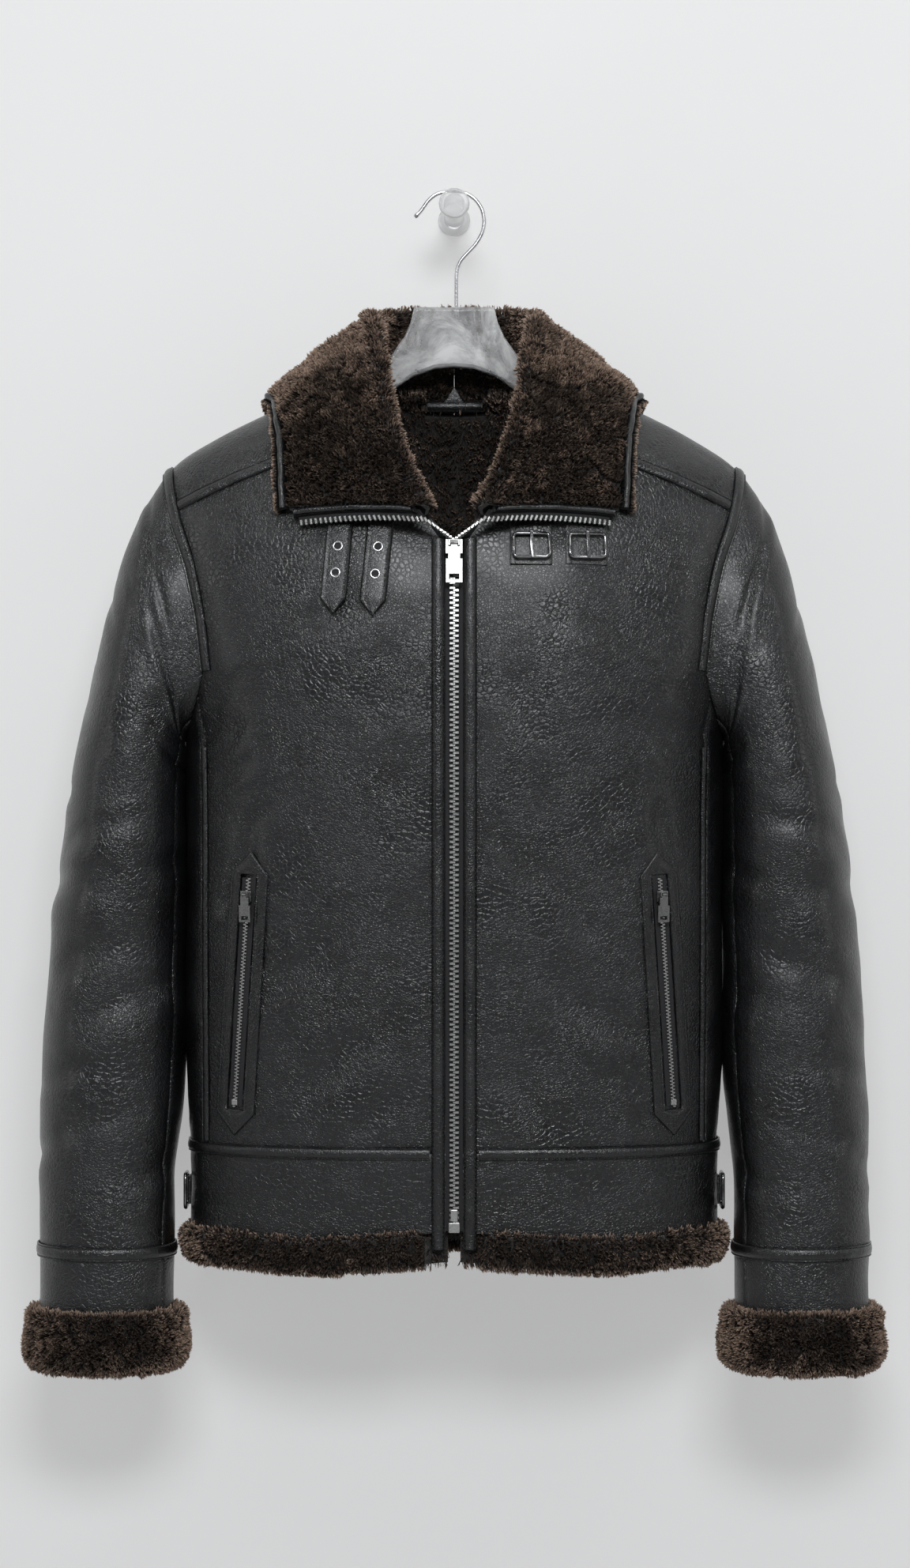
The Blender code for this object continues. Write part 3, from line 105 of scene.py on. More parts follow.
SLEEVE = (
    (0, 219, -209, 200.5, -405, -104, 58, 50),
    (1, 238, -240, 203, -409, -103, 59, 52),
    (2, 252.5, -282, 203.8, -414, -102, 61, 55),
    (3, 264, -325, 204, -421, -101, 63, 58),
    (4, 275, -371, 204, -431, -100, 65, 61),
    (5, 286, -425, 204, -447, -100, 66, 63),
    (6, 294.5, -474, 204, -480, -100, 66, 64),
    (7, 301, -528, 204, -530, -100, 63, 62),
    (8, 306, -585, 204.3, -585, -101, 60, 58),
    (9, 309.8, -642, 205, -642, -103, 57, 54),
    (10, 311.4, -700, 207, -700, -106, 54, 51),
    (11, 311.5, -767, 210.5, -767, -110, 50, 47),
    (12, 311.2, -834.5, 211, -834.5, -114, 46, 44),
)
SLEEVE_ROUNDNESS = 2.2
HEAD_BLEND = 4.5
HEAD_TURN = 2.6
CUFF_STRIP_STEPS = (11.22, 11.42)
HEM_FUR = ((0.6, 4.5), (6.5, 2), (9, -10), (3, -24), (-6, -27.5), (-15.5, -21),
           (-17, -7), (-8, -0.5), (0.3, -0.5))
CUFF_FUR = ((0.6, 5), (8, 3), (10.5, -2), (8.6, -9), (11.5, -13), (10, -38), (0, -46),
            (-11, -40), (-12, -8), (-7, -0.5), (0.6, -0.5))
COLLAR = (
    (19, -243, FRONT, 19, -213, -238, 119, -241.5, FRONT, 11),
    (31, -227, FRONT, 27, -207, -221, 120, -222, FRONT, 12),
    (46, -206, FRONT, 37, -199, -197, 121, -200, FRONT, 13),
    (58, -184, FRONT, 44, -185, -173, 123, -182, FRONT, 14),
    (68, -163, FRONT, 49, -166, -148, 125.5, -166, FRONT, 15),
    (75, -145.5, FRONT, 53.5, -141, -120, 128, -157, FRONT, 16),
    (78.5, None, FRONT, 58.5, -113, -96, 131, None, FRONT, 17),
    (76, -141, BACK, 62, -86, -83, 129, -163, BACK, None),
    (57, -149, BACK, 55, -60, -79, 108, -182, BACK, None),
    (30, -155.5, BACK, 32, -41, -76.5, 60, -196, BACK, None),
    (0.3, -157, BACK, 0.3, -33, -75, 0.3, -200, BACK, None),
)
LEAF_LIFT, FREE_LIFT, FREE_EDGE_LIFT = 7.2, 4.0, 11.0
RIDGE_STATION = 6
STAND_POINTS, FOLD_POINTS, LEAF_POINTS = 3, 5, 6
FOLD_RADIUS = 6.5


def curve(rows):
    """Smooth function through rows of (parameter, values...), with no overshoot."""
    table = np.array(sorted(rows, key=lambda row: row[0]), float)
    knots, values = table[:, 0], table[:, 1:]
    steps = np.diff(knots)
    slopes = np.diff(values, axis=0) / steps[:, None]
    tangents = np.zeros_like(values)
    tangents[0], tangents[-1] = slopes[0], slopes[-1]
    for i in range(1, len(knots) - 1):
        before, after = slopes[i - 1], slopes[i]
        same = before * after > 0
        mean = np.where(same, 2 * before * after / np.where(same, before + after, 1), 0)
        tangents[i] = mean

    def at(parameter):
        t = min(max(parameter, knots[0]), knots[-1])
        i = min(int(np.searchsorted(knots, t, side="right")) - 1, len(steps) - 1)
        h = steps[i]
        s = (t - knots[i]) / h
        return ((2 * s**3 - 3 * s**2 + 1) * values[i] + (s**3 - 2 * s**2 + s) * h * tangents[i]
                + (3 * s**2 - 2 * s**3) * values[i + 1] + (s**3 - s**2) * h * tangents[i + 1])
    return at


def unit(vector):
    return vector / max(np.linalg.norm(vector), 1e-12)


def mix(a, b, t):
    return a + (b - a) * t


body_section = curve(BODY)
ridge_curve = curve(RIDGE)
sleeve_ring = curve(SLEEVE)
band_front_edge = curve(BAND_FRONT_EDGE)


def ridge_z(x):
    return float(ridge_curve(abs(x))[0])


def closing(x, z):
    """Share of the full depth left at this place: 1 below the shoulders, 0 on the ridge."""
    t = (z - CLOSE_START) / (ridge_z(x) - CLOSE_START)
    t = min(max(t, 0.0), 1.0)
    return (1 - t**CLOSE_POWER) ** (1 / CLOSE_POWER)


def angle_of(x, z):
    half_width = body_section(z)[0]
    return degrees(asin(min(abs(x) / half_width, 1.0) ** (BODY_ROUNDNESS / 2)))


def x_of(angle, z):
    return body_section(z)[0] * sin(radians(angle)) ** (2 / BODY_ROUNDNESS)


def body_point(angle, z, side):
    _, front, back = body_section(z)
    x = x_of(angle, z)
    depth = front if side == FRONT else back
    across = max(cos(radians(angle)), 0.0) ** (2 / BODY_ROUNDNESS)
    return np.array([x, BODY_CENTRE_Y + side * depth * across * closing(x, z), z])


def body_level(point):
    """Zero on the surface and larger outside it."""
    x, y, z = point
    half_width, front, back = body_section(z)
    depth = front if y < BODY_CENTRE_Y else back
    across = min(abs(x) / half_width, 0.9999) ** BODY_ROUNDNESS
    rise = (z - CLOSE_START) / (ridge_z(x) - CLOSE_START)
    off_centre = abs(y - BODY_CENTRE_Y)
    if rise <= 0:
        return across + (off_centre / depth) ** BODY_ROUNDNESS - 1
    full = depth * (1 - across) ** (1 / BODY_ROUNDNESS)
    return (off_centre / full) ** CLOSE_POWER + rise**CLOSE_POWER - 1


def body_normal(point):
    step = 0.05
    slope = [body_level(point + step * axis) - body_level(point - step * axis) for axis in np.eye(3)]
    return unit(np.array(slope))


def folds(x, z, side):
    """Broad hollows and swells of the hung cloth, mm outwards."""
    swell = 1.6 * np.exp(-((x - 95) / 60) ** 2 - ((z + 360) / 90) ** 2)
    drag = -1.6 * np.exp(-((x - 0.32 * (z + 700) - 50) / 22) ** 2 - ((z + 610) / 90) ** 2)
    side_fold = -1.2 * np.exp(-((x - 165) / 22) ** 2 - ((z + 470) / 80) ** 2)
    back_fold = -1.8 * np.exp(-((x - 120) / 35) ** 2 - ((z + 520) / 130) ** 2)
    return swell + drag + side_fold if side == FRONT else swell + back_fold


def skin(angle, z, side):
    """Outer point of the body and its outward direction."""
    point = body_point(angle, z, side)
    normal = body_normal(point)
    return point + normal * folds(point[0], z, side), normal


def skin_x(x, z, side):
    """The same by distance from the centre line; a height of None means the ridge."""
    if z is None:
        z = ridge_z(x)
    return skin(angle_of(x, z), z, side)


def loop_place(step):
    """Angle, height and side of the armhole loop; step 0 is the shoulder, half way is the underarm."""
    turn = 360.0 * (step % LOOP_STEPS) / LOOP_STEPS
    side = FRONT if turn <= 180 else BACK
    turn = min(turn, 360 - turn)
    middle, reach = (ARMHOLE_TOP + ARMHOLE_BOTTOM) / 2, (ARMHOLE_TOP - ARMHOLE_BOTTOM) / 2
    dip = max(0.0, (turn - LOOP_DIP) / (180 - LOOP_DIP))
    return ARMHOLE_ANGLE + (90 - ARMHOLE_ANGLE) * dip**1.3, middle + reach * cos(radians(turn)), side


@lru_cache(maxsize=None)
def loop_skin(step):
    """Point and way out on the armhole loop, kept because it is asked for again and again."""
    return skin(*loop_place(step))


def frames_along(places, flip=1):
    """Frames for sweep from (point, out) pairs, with the across direction square to the path."""
    points = [p for p, _ in places]
    frames = []
    for i, (point, out) in enumerate(places):
        ahead = points[min(i + 1, len(points) - 1)] - points[max(i - 1, 0)]
        across = unit(np.cross(unit(ahead), out)) * flip
        frames.append((point, across, unit(out)))
    return frames


def waist_angles():
    return [angle_of(x, WAIST_Z) for x in WAIST_COLUMNS] + [SIDE_ANGLE]


def side_heights():
    """Row heights up the side seam, from the waist to the armhole."""
    top = loop_place(SIDE_STEP)[1]
    return [mix(WAIST_Z, top, j / SIDE_STEP) for j in range(SIDE_STEP + 1)]


def panel_edges(side):
    """The four edges of a front or back panel, as (angle, height)."""
    steps = range(SIDE_STEP - 1, YOKE_STEP - 1, -1)
    top_angle = loop_place(SIDE_STEP)[0]
    right = [(mix(SIDE_ANGLE, top_angle, j / SIDE_STEP), z) for j, z in enumerate(side_heights())]
    right += [loop_place(step)[:2] for step in steps]
    neck = FRONT_NECK if side == FRONT else BACK_NECK
    seam = yoke_seam(side)
    top = [(angle_of(x, z), z) for x, z in neck] + [(angle_of(x, z), z) for x, z in seam[1:]]
    share = [(z - right[0][1]) / (right[-1][1] - right[0][1]) for _, z in right]
    low, high = WAIST_Z, neck[0][1]
    left = [(angle_of(neck[0][0], mix(low, high, s)), mix(low, high, s)) for s in share]
    if side == FRONT:
        bottom = [(angle, WAIST_Z) for angle in waist_angles()]
    else:
        columns = len(top) - 1
        bottom = [(SIDE_ANGLE * i / columns, WAIST_Z) for i in range(columns + 1)]
        left = [(0.0, z) for _, z in left]
    bottom[-1] = right[0]
    return bottom, right, top, left


def yoke_seam(side):
    """Points of the yoke's seam from the neck to the armhole, as (x, z)."""
    x0, z0 = (FRONT_NECK if side == FRONT else BACK_NECK)[-1]
    angle, z1, _ = loop_place(YOKE_STEP)
    x1 = x_of(angle, z1)
    steps = 6
    bow = 7.0 if side == FRONT else 10.0
    shares = [i / steps for i in range(steps + 1)]
    return [(mix(x0, x1, s), mix(z0, z1, s) + bow * sin(pi * s)) for s in shares]


def over_ridge(x, lift_angle):
    """Height and side of the shoulder at x, by an angle over the ridge (90 is the ridge)."""
    rise = sin(radians(lift_angle)) ** (2 / CLOSE_POWER)
    return mix(CLOSE_START, ridge_z(x), rise), FRONT if lift_angle <= 90 else BACK


def ridge_angle(x, z, side):
    rise = 1.0 if z is None else (z - CLOSE_START) / (ridge_z(x) - CLOSE_START)
    turn = degrees(asin(min(max(rise, 0.0), 1.0) ** (CLOSE_POWER / 2)))
    return turn if side == FRONT else 180 - turn


def waist_places():
    """Places round half the waist, from the front edge to the centre back."""
    places = [(angle, FRONT) for angle in waist_angles()]
    half = UNDERARM_STEP - SIDE_STEP
    for i in range(2 * half - 1, 0, -1):
        angle = SIDE_ANGLE + (90 - SIDE_ANGLE) * (1 - abs(i - half) / half)
        places.append((angle, BACK if i < half else FRONT))
    columns = len(BACK_NECK) + 5
    places += [(SIDE_ANGLE * i / columns, BACK) for i in range(columns, -1, -1)]
    return places


def band_low_z(angle, side):
    if side == BACK:
        return mix(BAND_BACK_Z, -773.0, (angle / 90) ** 4)
    return float(band_front_edge(x_of(angle, -772))[0])


def sleeve_raw(step, turn):
    outer_x, outer_z, inner_x, inner_z, y, front, back = sleeve_ring(step)
    outer, inner = np.array([outer_x, y, outer_z]), np.array([inner_x, y, inner_z])
    c, s = cos(radians(turn)), sin(radians(turn))
    reach = np.sign(c) * abs(c) ** (2 / SLEEVE_ROUNDNESS)
    depth = (front if s > 0 else back) * abs(s) ** (2 / SLEEVE_ROUNDNESS)
    return (outer + inner) / 2 + (outer - inner) / 2 * reach + np.array([0, -np.sign(s) * depth, 0])


def sleeve_folds(step, turn):
    """Soft creases round the elbow and above the cuff, mm outwards."""
    inside = 0.5 - 0.5 * cos(radians(turn + 20))
    elbow = -1.8 * np.exp(-((step - 7.9) / 0.35) ** 2) - 1.4 * np.exp(-((step - 9.1) / 0.3) ** 2)
    above_cuff = -1.2 * np.exp(-((step - 10.5) / 0.25) ** 2)
    return (elbow + above_cuff) * inside


def sleeve_point(step, turn):
    point = sleeve_raw(step, turn)
    if step < HEAD_BLEND:
        fade = (1 - step / HEAD_BLEND) ** 2
        loop_step = turn / 360 * LOOP_STEPS
        point = point + (loop_skin(loop_step)[0] - sleeve_raw(0, turn)) * fade
    return point


def sleeve_skin(step, turn):
    """Outer point of the sleeve and its outward direction."""
    small_step, small_turn = 0.02, 1.0
    low = max(step - small_step, 0.0)
    along = sleeve_point(step + small_step, turn) - sleeve_point(low, turn)
    around = sleeve_point(step, turn + small_turn) - sleeve_point(step, turn - small_turn)
    normal = unit(np.cross(around, along))
    point = sleeve_point(step, turn)
    centre = sleeve_raw(step, 0) / 2 + sleeve_raw(step, 180) / 2
    if np.dot(normal, point - centre) < 0:
        normal = -normal
    if step < HEAD_TURN:
        body_out = loop_skin(turn / 360 * LOOP_STEPS)[1]
        facing = min(max(np.dot(body_out, normal) / 0.6, 0.0), 1.0)
        seam_normal = unit(mix(unit(body_out + normal), body_out, facing))
        normal = unit(mix(seam_normal, normal, step / HEAD_TURN))
    return point + normal * sleeve_folds(step, turn), normal


def seam_run(places, start, end, count=7):
    """Points evenly along part of a row of (point, out)."""
    points = np.array([p for p, _ in places])
    outs = np.array([n for _, n in places])
    lengths = np.concatenate([[0], np.cumsum(np.linalg.norm(np.diff(points, axis=0), axis=1))])
    lengths /= lengths[-1]
    run = []
    for k in range(count):
        t = mix(start, end, k / (count - 1))
        point = np.array([np.interp(t, lengths, points[:, axis]) for axis in range(3)])
        out = np.array([np.interp(t, lengths, outs[:, axis]) for axis in range(3)])
        run.append((point, unit(out)))
    return run


def collar_rails():
    rails = []
    for index, row in enumerate(COLLAR):
        base_x, base_z, base_side, roll_x, roll_y, roll_z, edge_x, edge_z, edge_side, lift = row
        base, base_out = skin_x(base_x, base_z, base_side)
        edge, edge_out = skin_x(edge_x, edge_z, edge_side)
        roll = np.array([roll_x, roll_y, roll_z], float)
        lean = float(np.dot(unit(roll - base), base_out))
        base = base + base_out * (0.6 + WALL / 2 * np.sqrt(max(1 - lean**2, 0.0)))
        edge_point = edge + edge_out * (LEAF_LIFT if index < RIDGE_STATION else FREE_EDGE_LIFT)
        mid_x = mix(base_x, edge_x, 0.55)
        turn = mix(ridge_angle(base_x, base_z, base_side), ridge_angle(edge_x, edge_z, edge_side), 0.55)
        mid_z, mid_side = over_ridge(mid_x, turn)
        mid, mid_out = skin_x(mid_x, mid_z, mid_side)
        mid_point = (roll + edge_point) / 2 + edge_out * FREE_LIFT if lift is None else mid + mid_out * lift
        rails.append((index, *base, *roll, *mid_point, *edge_point))
    return curve(rails)


def collar_profile(rails, t):
    """Points up the stand, over the fold and down the leaf."""
    row = rails(t * (len(COLLAR) - 1))
    base, roll, mid, edge = row[0:3], row[3:6], row[6:9], row[9:12]
    outward = unit(mid - roll)
    up = roll - base
    rise = unit(up - outward * np.dot(up, outward))
    centre = roll + outward * FOLD_RADIUS - rise * FOLD_RADIUS
    points = []
    start = centre - outward * FOLD_RADIUS
    for k in range(STAND_POINTS):
        points.append(mix(base, start, k / STAND_POINTS))
    for k in range(FOLD_POINTS):
        turn = pi * (1 - 0.8 * k / (FOLD_POINTS - 1))
        points.append(centre + FOLD_RADIUS * (cos(turn) * outward + sin(turn) * rise))
    last = points[-1]
    for k in range(1, LEAF_POINTS + 1):
        s = k / LEAF_POINTS
        hump = mid - (last + edge) / 2
        points.append(mix(last, edge, s) + hump * 4 * s * (1 - s))
    return np.array(points)


def grid_normals(grid):
    """Normals of a grid of points from its neighbours; grid is rows by columns by 3."""
    along = np.gradient(grid, axis=0)
    across = np.gradient(grid, axis=1)
    normal = np.cross(along, across)
    return normal / np.linalg.norm(normal, axis=2)[:, :, None]


def collar_edge_places(rails, t, past):
    """Point just beyond the leaf's outer edge and the way out of the leaf there."""
    profile = collar_profile(rails, t)
    along = unit(profile[-1] - profile[-2])
    before, after = collar_profile(rails, max(t - 0.02, 0)), collar_profile(rails, min(t + 0.02, 1))
    out = unit(np.cross(after[-1] - before[-1], along))
    body_out = profile[-1] - np.array([0, BODY_CENTRE_Y, -300])
    if np.dot(out, body_out) < 0:
        out = -out
    return profile[-1] + along * past, along, out


def front_end(share):
    """Point, direction along and way out at the leaf's front end, from the roll to the outer edge."""
    rails = collar_rails()
    profile = collar_profile(rails, 0.0)
    nearby = collar_profile(rails, 0.03)
    first = STAND_POINTS + 2
    stretch = profile[first:]
    inside = nearby[first:]
    place_at = share * (len(stretch) - 1)
    k = min(int(place_at), len(stretch) - 2)
    point = mix(stretch[k], stretch[k + 1], place_at - k)
    further = mix(inside[k], inside[k + 1], place_at - k)
    down = unit(point - further)
    along = unit(stretch[k + 1] - stretch[k])
    out = unit(np.cross(along, down))
    if out[1] > 0:
        out = -out
    return point, unit(down), out


FACING_DROP = 7.0
ZIP_BOTTOM_Z = -768.0
ZIP_TOP_Z = -262.0
TAPE_HALF = 6.0
ZIP_RUNS = 12


def zip_places():
    """The closed stretch up the front, then the open one out along the collar's front edge."""
    places = []
    for k in range(ZIP_RUNS + 1):
        z = mix(ZIP_BOTTOM_Z, ZIP_TOP_Z, k / ZIP_RUNS)
        point, out = skin_x(0.0, z, FRONT)
        places.append((point - out * 1.2, np.array([1.0, 0, 0]), out))
    for share in (0.12, 0.22, 0.36, 0.52, 0.68, 0.84, 0.95):
        point, down, out = front_end(share)
        places.append((point + down * (FACING_DROP + TAPE_HALF + 0.5), -down, out))
    joined = places[:ZIP_RUNS + 1]
    last, first = places[ZIP_RUNS], places[ZIP_RUNS + 1]
    for s in (0.3, 0.65):
        point = mix(last[0], first[0], s) + np.array([0, -3.5, 0.5]) * 4 * s * (1 - s)
        joined.append((point, unit(mix(last[1], first[1], s)), unit(mix(last[2], first[2], s))))
    return joined + places[ZIP_RUNS + 1:]


def surface_axes(out):
    """Across and out directions on a surface, with across level."""
    across = unit(np.cross(out, [0, 0, -1.0]))
    return (across if across[0] > 0 else -across), out


POCKET_TOP, POCKET_BOTTOM = (150.3, -507.0), (161.3, -683.0)
WELT_HALF, WELT_POINT, WINDOW_HALF = 14.2, 17.0, 6.2
WELT_RUNS = 6


def pocket_place(along, across):
    """Front point of the body by share down the pocket and distance across it, mm."""
    (x0, z0), (x1, z1) = POCKET_TOP, POCKET_BOTTOM
    length = np.hypot(x1 - x0, z1 - z0)
    down = np.array([x1 - x0, z1 - z0]) / length
    over = np.array([-down[1], down[0]])
    x, z = np.array([x0, z0]) + down * along * length + over * across
    return skin_x(x, z, FRONT)


STRAP_HALF = 9.6
STRAPS = (("outer", 83.0, 87.5, -250.0, -305.5, -316.5), ("inner", 53.5, 59.0, -250.0, -307.0, -318.0))
EYELET_SHARES = (0.32, 0.67)
BUCKLES = (("inner", 56.0), ("outer", 96.5))
TAB_ROWS, TAB_HALF, TAB_THICK = (-249.0, -262.0, -276.0, -280.5), 15.5, 1.8
ADJUSTER_Z, ADJUSTER_THICK = -746.5, 2.2
LOOP_HALF = 21.5
HANGER_Y = -80.0
HOOK = ((-30, -9.4), (-25, -4.5), (-20.3, 2.9), (-14.8, 7.7), (-9.8, 9.6), (-4.9, 9.9), (0, 9.9), (5, 9.6),
        (9.7, 8.7), (16.4, 4.1), (21.4, -3.3), (23.2, -13.1), (21.4, -21.7), (16.4, -30.2), (9.7, -37),
        (4.2, -43.1), (1.8, -49.8), (1.5, -60), (1.5, -78), (1.5, -91.5))
HOOK_RADIUS = 1.5


ROOT = "root"
UP = np.array([0, 0, 1.0])


# Materials

def grey(value):
    return (value, value, value)


class Surface:
    """A node material being built round one Principled shader."""

    def __init__(self, name, **values):
        self.material = bpy.data.materials.new(name)
        self.material.use_nodes = True
        self.tree = self.material.node_tree
        self.shader = self.tree.nodes["Principled BSDF"]
        for key, value in values.items():
            self.shader.inputs[key.replace("_", " ")].default_value = value
        self.place = self.add("TexCoord").outputs["Object"]

    def add(self, kind, feeds=None, **values):
        """A node with its values, fed by other nodes' outputs."""
        made = self.tree.nodes.new("ShaderNode" + kind)
        for key, value in values.items():
            if hasattr(made, key):
                setattr(made, key, value)
            else:
                made.inputs[key.replace("_", " ")].default_value = value
        for key, output in (feeds or {}).items():
            self.tree.links.new(output, made.inputs[key])
        return made

    def feed(self, key, output):
        self.tree.links.new(output, self.shader.inputs[key])

    def noise(self, scale, detail, **values):
        made = self.add("TexNoise", {"Vector": self.place}, Scale=scale, Detail=detail, **values)
        return made.outputs["Fac"]

    def ramp(self, output, *stops):
        """Colours or greys at places along a value."""
        made = self.add("ValToRGB", {"Fac": output})
        elements = made.color_ramp.elements
        while len(elements) < len(stops):
            elements.new(0.5)
        for element, (place, colour) in zip(elements, stops):
            element.position = place
            element.color = (*(colour if isinstance(colour, tuple) else grey(colour)), 1)
        return made.outputs["Color"]

    def bump(self, height, strength, distance, below=None):
        feeds = {"Height": height, "Normal": below} if below else {"Height": height}
        return self.add("Bump", feeds, Strength=strength, Distance=distance).outputs["Normal"]

    def multiply(self, first, second, share):
        feeds = {6: first, 7: second}
        return self.add("Mix", feeds, data_type="RGBA", blend_type="MULTIPLY", Factor=share).outputs[2]

    def cover(self, share, other):
        """Another shader over the main one."""
        both = self.add("MixShader", {"Fac": share, 1: self.shader.outputs[0], 2: other.outputs[0]})
        self.tree.links.new(both.outputs[0], self.tree.nodes["Material Output"].inputs["Surface"])


def leather_material(name, dark, light, rough, grain=1.0, scale=1.0):
    """Dyed, finished skin: irregular pebble grain, fine pores, soft crinkles and uneven gloss."""
    made = Surface(name, Specular_IOR_Level=0.62, Coat_Weight=0.15, Coat_Roughness=0.24)
    warp = made.add("TexNoise", {"Vector": made.place}, Scale=160.0 * scale, Detail=2.0)
    shift = made.add("VectorMath", {0: warp.outputs["Color"], 2: made.place}, operation="MULTIPLY_ADD")
    shift.inputs[1].default_value = grey(0.0028)
    pebbles, pores = [made.add("TexVoronoi", {"Vector": shift.outputs[0]}, feature="DISTANCE_TO_EDGE",
                               Scale=size * scale).outputs["Distance"] for size in (270.0, 560.0)]
    pebbles = made.ramp(pebbles, (0.0, 0.0), (0.16, 0.75), (0.4, 1.0))
    pores = made.ramp(pores, (0.0, 0.0), (0.2, 1.0))
    where = made.ramp(made.noise(28.0, 3.0, Roughness=0.6), (0.35, 0.15), (0.65, 1.0))
    grains = made.add("Mix", {"Factor": where, 2: pores, 3: pebbles}, data_type="FLOAT").outputs[0]
    crinkles = made.bump(made.noise(58.0, 6.0, Roughness=0.66, Distortion=0.9), 0.35, 0.0022)
    made.feed("Normal", made.bump(grains, 0.7 * grain, 0.0005, crinkles))
    patchy = made.noise(19.0, 4.0, Roughness=0.6)
    made.feed("Roughness", made.ramp(patchy, (0.3, rough - 0.07), (0.7, rough + 0.1)))
    tone = made.ramp(patchy, (0.3, dark), (0.72, light))
    made.feed("Base Color", made.multiply(tone, grains, 0.5))
    return made.material


def fur_material(name, root, middle, tip):
    """Clipped fur, dark at the root and paler at the tip, with tufts of different shade and a painted rim
    highlight on blades that stand side-on to the front view.
    """
    made = Surface(name, Roughness=0.62, Specular_IOR_Level=0.35, Sheen_Weight=0.2, Sheen_Roughness=0.4,
                   Sheen_Tint=(0.55, 0.42, 0.34, 1))
    along, tuft_tone_and_rim_light = [made.add("Attribute", attribute_name=kind).outputs["Fac"] for kind in ("tip", "tuft_tone_and_rim_light")]
    tone = made.ramp(along, (0.0, root), (0.5, middle), (1.0, tip))
    both = made.add("Math", {0: tuft_tone_and_rim_light, 2: made.noise(36.0, 3.0)}, operation="MULTIPLY_ADD")
    both.inputs[1].default_value = 0.55
    # random tuft tone plus the painted rim highlight from the blades' silhouette value
    tuft_shade_with_rim_light = made.ramp(both.outputs[0], (0.45, 0.06), (0.8, 0.32), (1.1, 1.0))
    made.feed("Base Color", made.multiply(tone, tuft_shade_with_rim_light, 1.0))
    return made.material


def felt_material(name, low, high):
    """The skin under the fur, and the lining seen from inside."""
    made = Surface(name, Roughness=0.85, Sheen_Weight=0.3)
    curl = made.noise(230.0, 4.0, Roughness=0.7, Distortion=1.2)
    made.feed("Base Color", made.ramp(curl, (0.32, low), (0.68, high)))
    made.feed("Normal", made.bump(curl, 0.9, 0.0025))
    return made.material


def metal_material(name, low, high, rough):
    """Plated metal with fine handling marks."""
    made = Surface(name, Metallic=1.0)
    marks = made.noise(900.0, 3.0)
    made.feed("Base Color", made.ramp(marks, (0.3, low), (0.7, high)))
    made.feed("Roughness", made.ramp(marks, (0.3, rough * 0.75), (0.7, rough * 1.3)))
    made.feed("Normal", made.bump(marks, 0.03, 0.0001))
    return made.material


def cloth_material(name, low, high, scale, rough):
    """Woven tape or spun thread."""
    made = Surface(name, Roughness=rough)
    weave = made.add("TexWave", {"Vector": made.place}, wave_type="BANDS", bands_direction="Z", Scale=scale,
                     Distortion=1.5).outputs["Fac"]
    made.feed("Base Color", made.ramp(weave, (0.2, low), (0.8, high)))
    made.feed("Normal", made.bump(weave, 0.4, 0.0002))
    return made.material


def clear_material(name, tint, rough, cloudy):
    """Clear cast acrylic with faint clouding and rubbed marks."""
    made = Surface(name, Transmission_Weight=1.0, IOR=1.49)
    cloud = made.noise(42.0, 6.0, Roughness=0.7)
    made.feed("Base Color", made.ramp(cloud, (0.3, tint), (0.7, 0.97)))
    made.feed("Roughness", made.ramp(cloud, (0.35, rough), (0.75, rough + 0.12)))
    scuffs = made.noise(30.0, 7.0, Roughness=0.72, Distortion=0.6)
    haze_tone = made.ramp(scuffs, (0.3, 0.6), (0.7, 0.95))
    haze = made.add("BsdfPrincipled", {"Base Color": haze_tone}, Roughness=0.3)
    made.cover(made.ramp(scuffs, (0.36, cloudy[0]), (0.64, cloudy[1])), haze)
    return made.material


def backdrop_material(name, low, high, glow, see_through):
    """Painted surface that glows a little; one that is see-through shows from its front only."""
    made = Surface(name, Roughness=0.9, Specular_IOR_Level=0.2, Emission_Color=(1, 1, 1, 1),
                   Emission_Strength=glow)
    made.feed("Base Color", made.ramp(made.noise(2.2, 4.0), (0.35, low), (0.65, high)))
    if see_through:
        made.cover(made.add("NewGeometry").outputs["Backfacing"], made.add("BsdfTransparent"))
    return made.material


LEATHER = leather_material("pebbled_leather", (0.003, 0.0032, 0.0038), (0.006, 0.0065, 0.0078), 0.33)
TRIM = leather_material("smooth_leather", (0.0028, 0.003, 0.0035), (0.005, 0.0054, 0.0064), 0.30, 0.6, 1.3)
FUR = fur_material("fur_tips", (0.003, 0.0021, 0.0015), (0.022, 0.0145, 0.0105), (0.46, 0.33, 0.25))
FUR_SKIN = felt_material("fur_base", (0.003, 0.0022, 0.0016), (0.014, 0.0095, 0.007))
NICKEL = metal_material("bright_nickel", (0.42, 0.42, 0.41), (0.54, 0.54, 0.53), 0.36)
DARK_METAL = metal_material("black_nickel", (0.2, 0.2, 0.205), (0.32, 0.32, 0.325), 0.2)
STEEL = metal_material("satin_steel", (0.5, 0.5, 0.51), (0.68, 0.68, 0.69), 0.24)
TAPE = cloth_material("zip_tape", (0.006, 0.006, 0.007), (0.014, 0.014, 0.016), 900.0, 0.75)
THREAD = cloth_material("thread", (0.018, 0.018, 0.021), (0.05, 0.05, 0.055), 2400.0, 0.45)
ACRYLIC = clear_material("clear_acrylic", (0.86, 0.88, 0.9), 0.02, (0.18, 0.58))
FROSTED = clear_material("clouded_acrylic", (0.93, 0.94, 0.95), 0.12, (0.16, 0.26))
AGED = metal_material("aged_nickel", (0.17, 0.17, 0.17), (0.27, 0.27, 0.265), 0.34)


# Meshes

def directions(rows):
    """Unit vectors along the last axis."""
    return rows / (np.linalg.norm(rows, axis=-1)[..., None] + 1e-9)


def run_lengths(points):
    """Distance along a line of points, at each of them."""
    return np.concatenate([[0], np.cumsum(np.linalg.norm(np.diff(points, axis=0), axis=1))])


def sample(marks, at, table):
    """Rows of a table read at new places."""
    return np.stack([np.interp(marks, at, column) for column in np.asarray(table, float).T], axis=1)


def ringed(grid):
    """A grid with its first column again at its end."""
    return np.concatenate([grid, grid[:, :1]], axis=1)


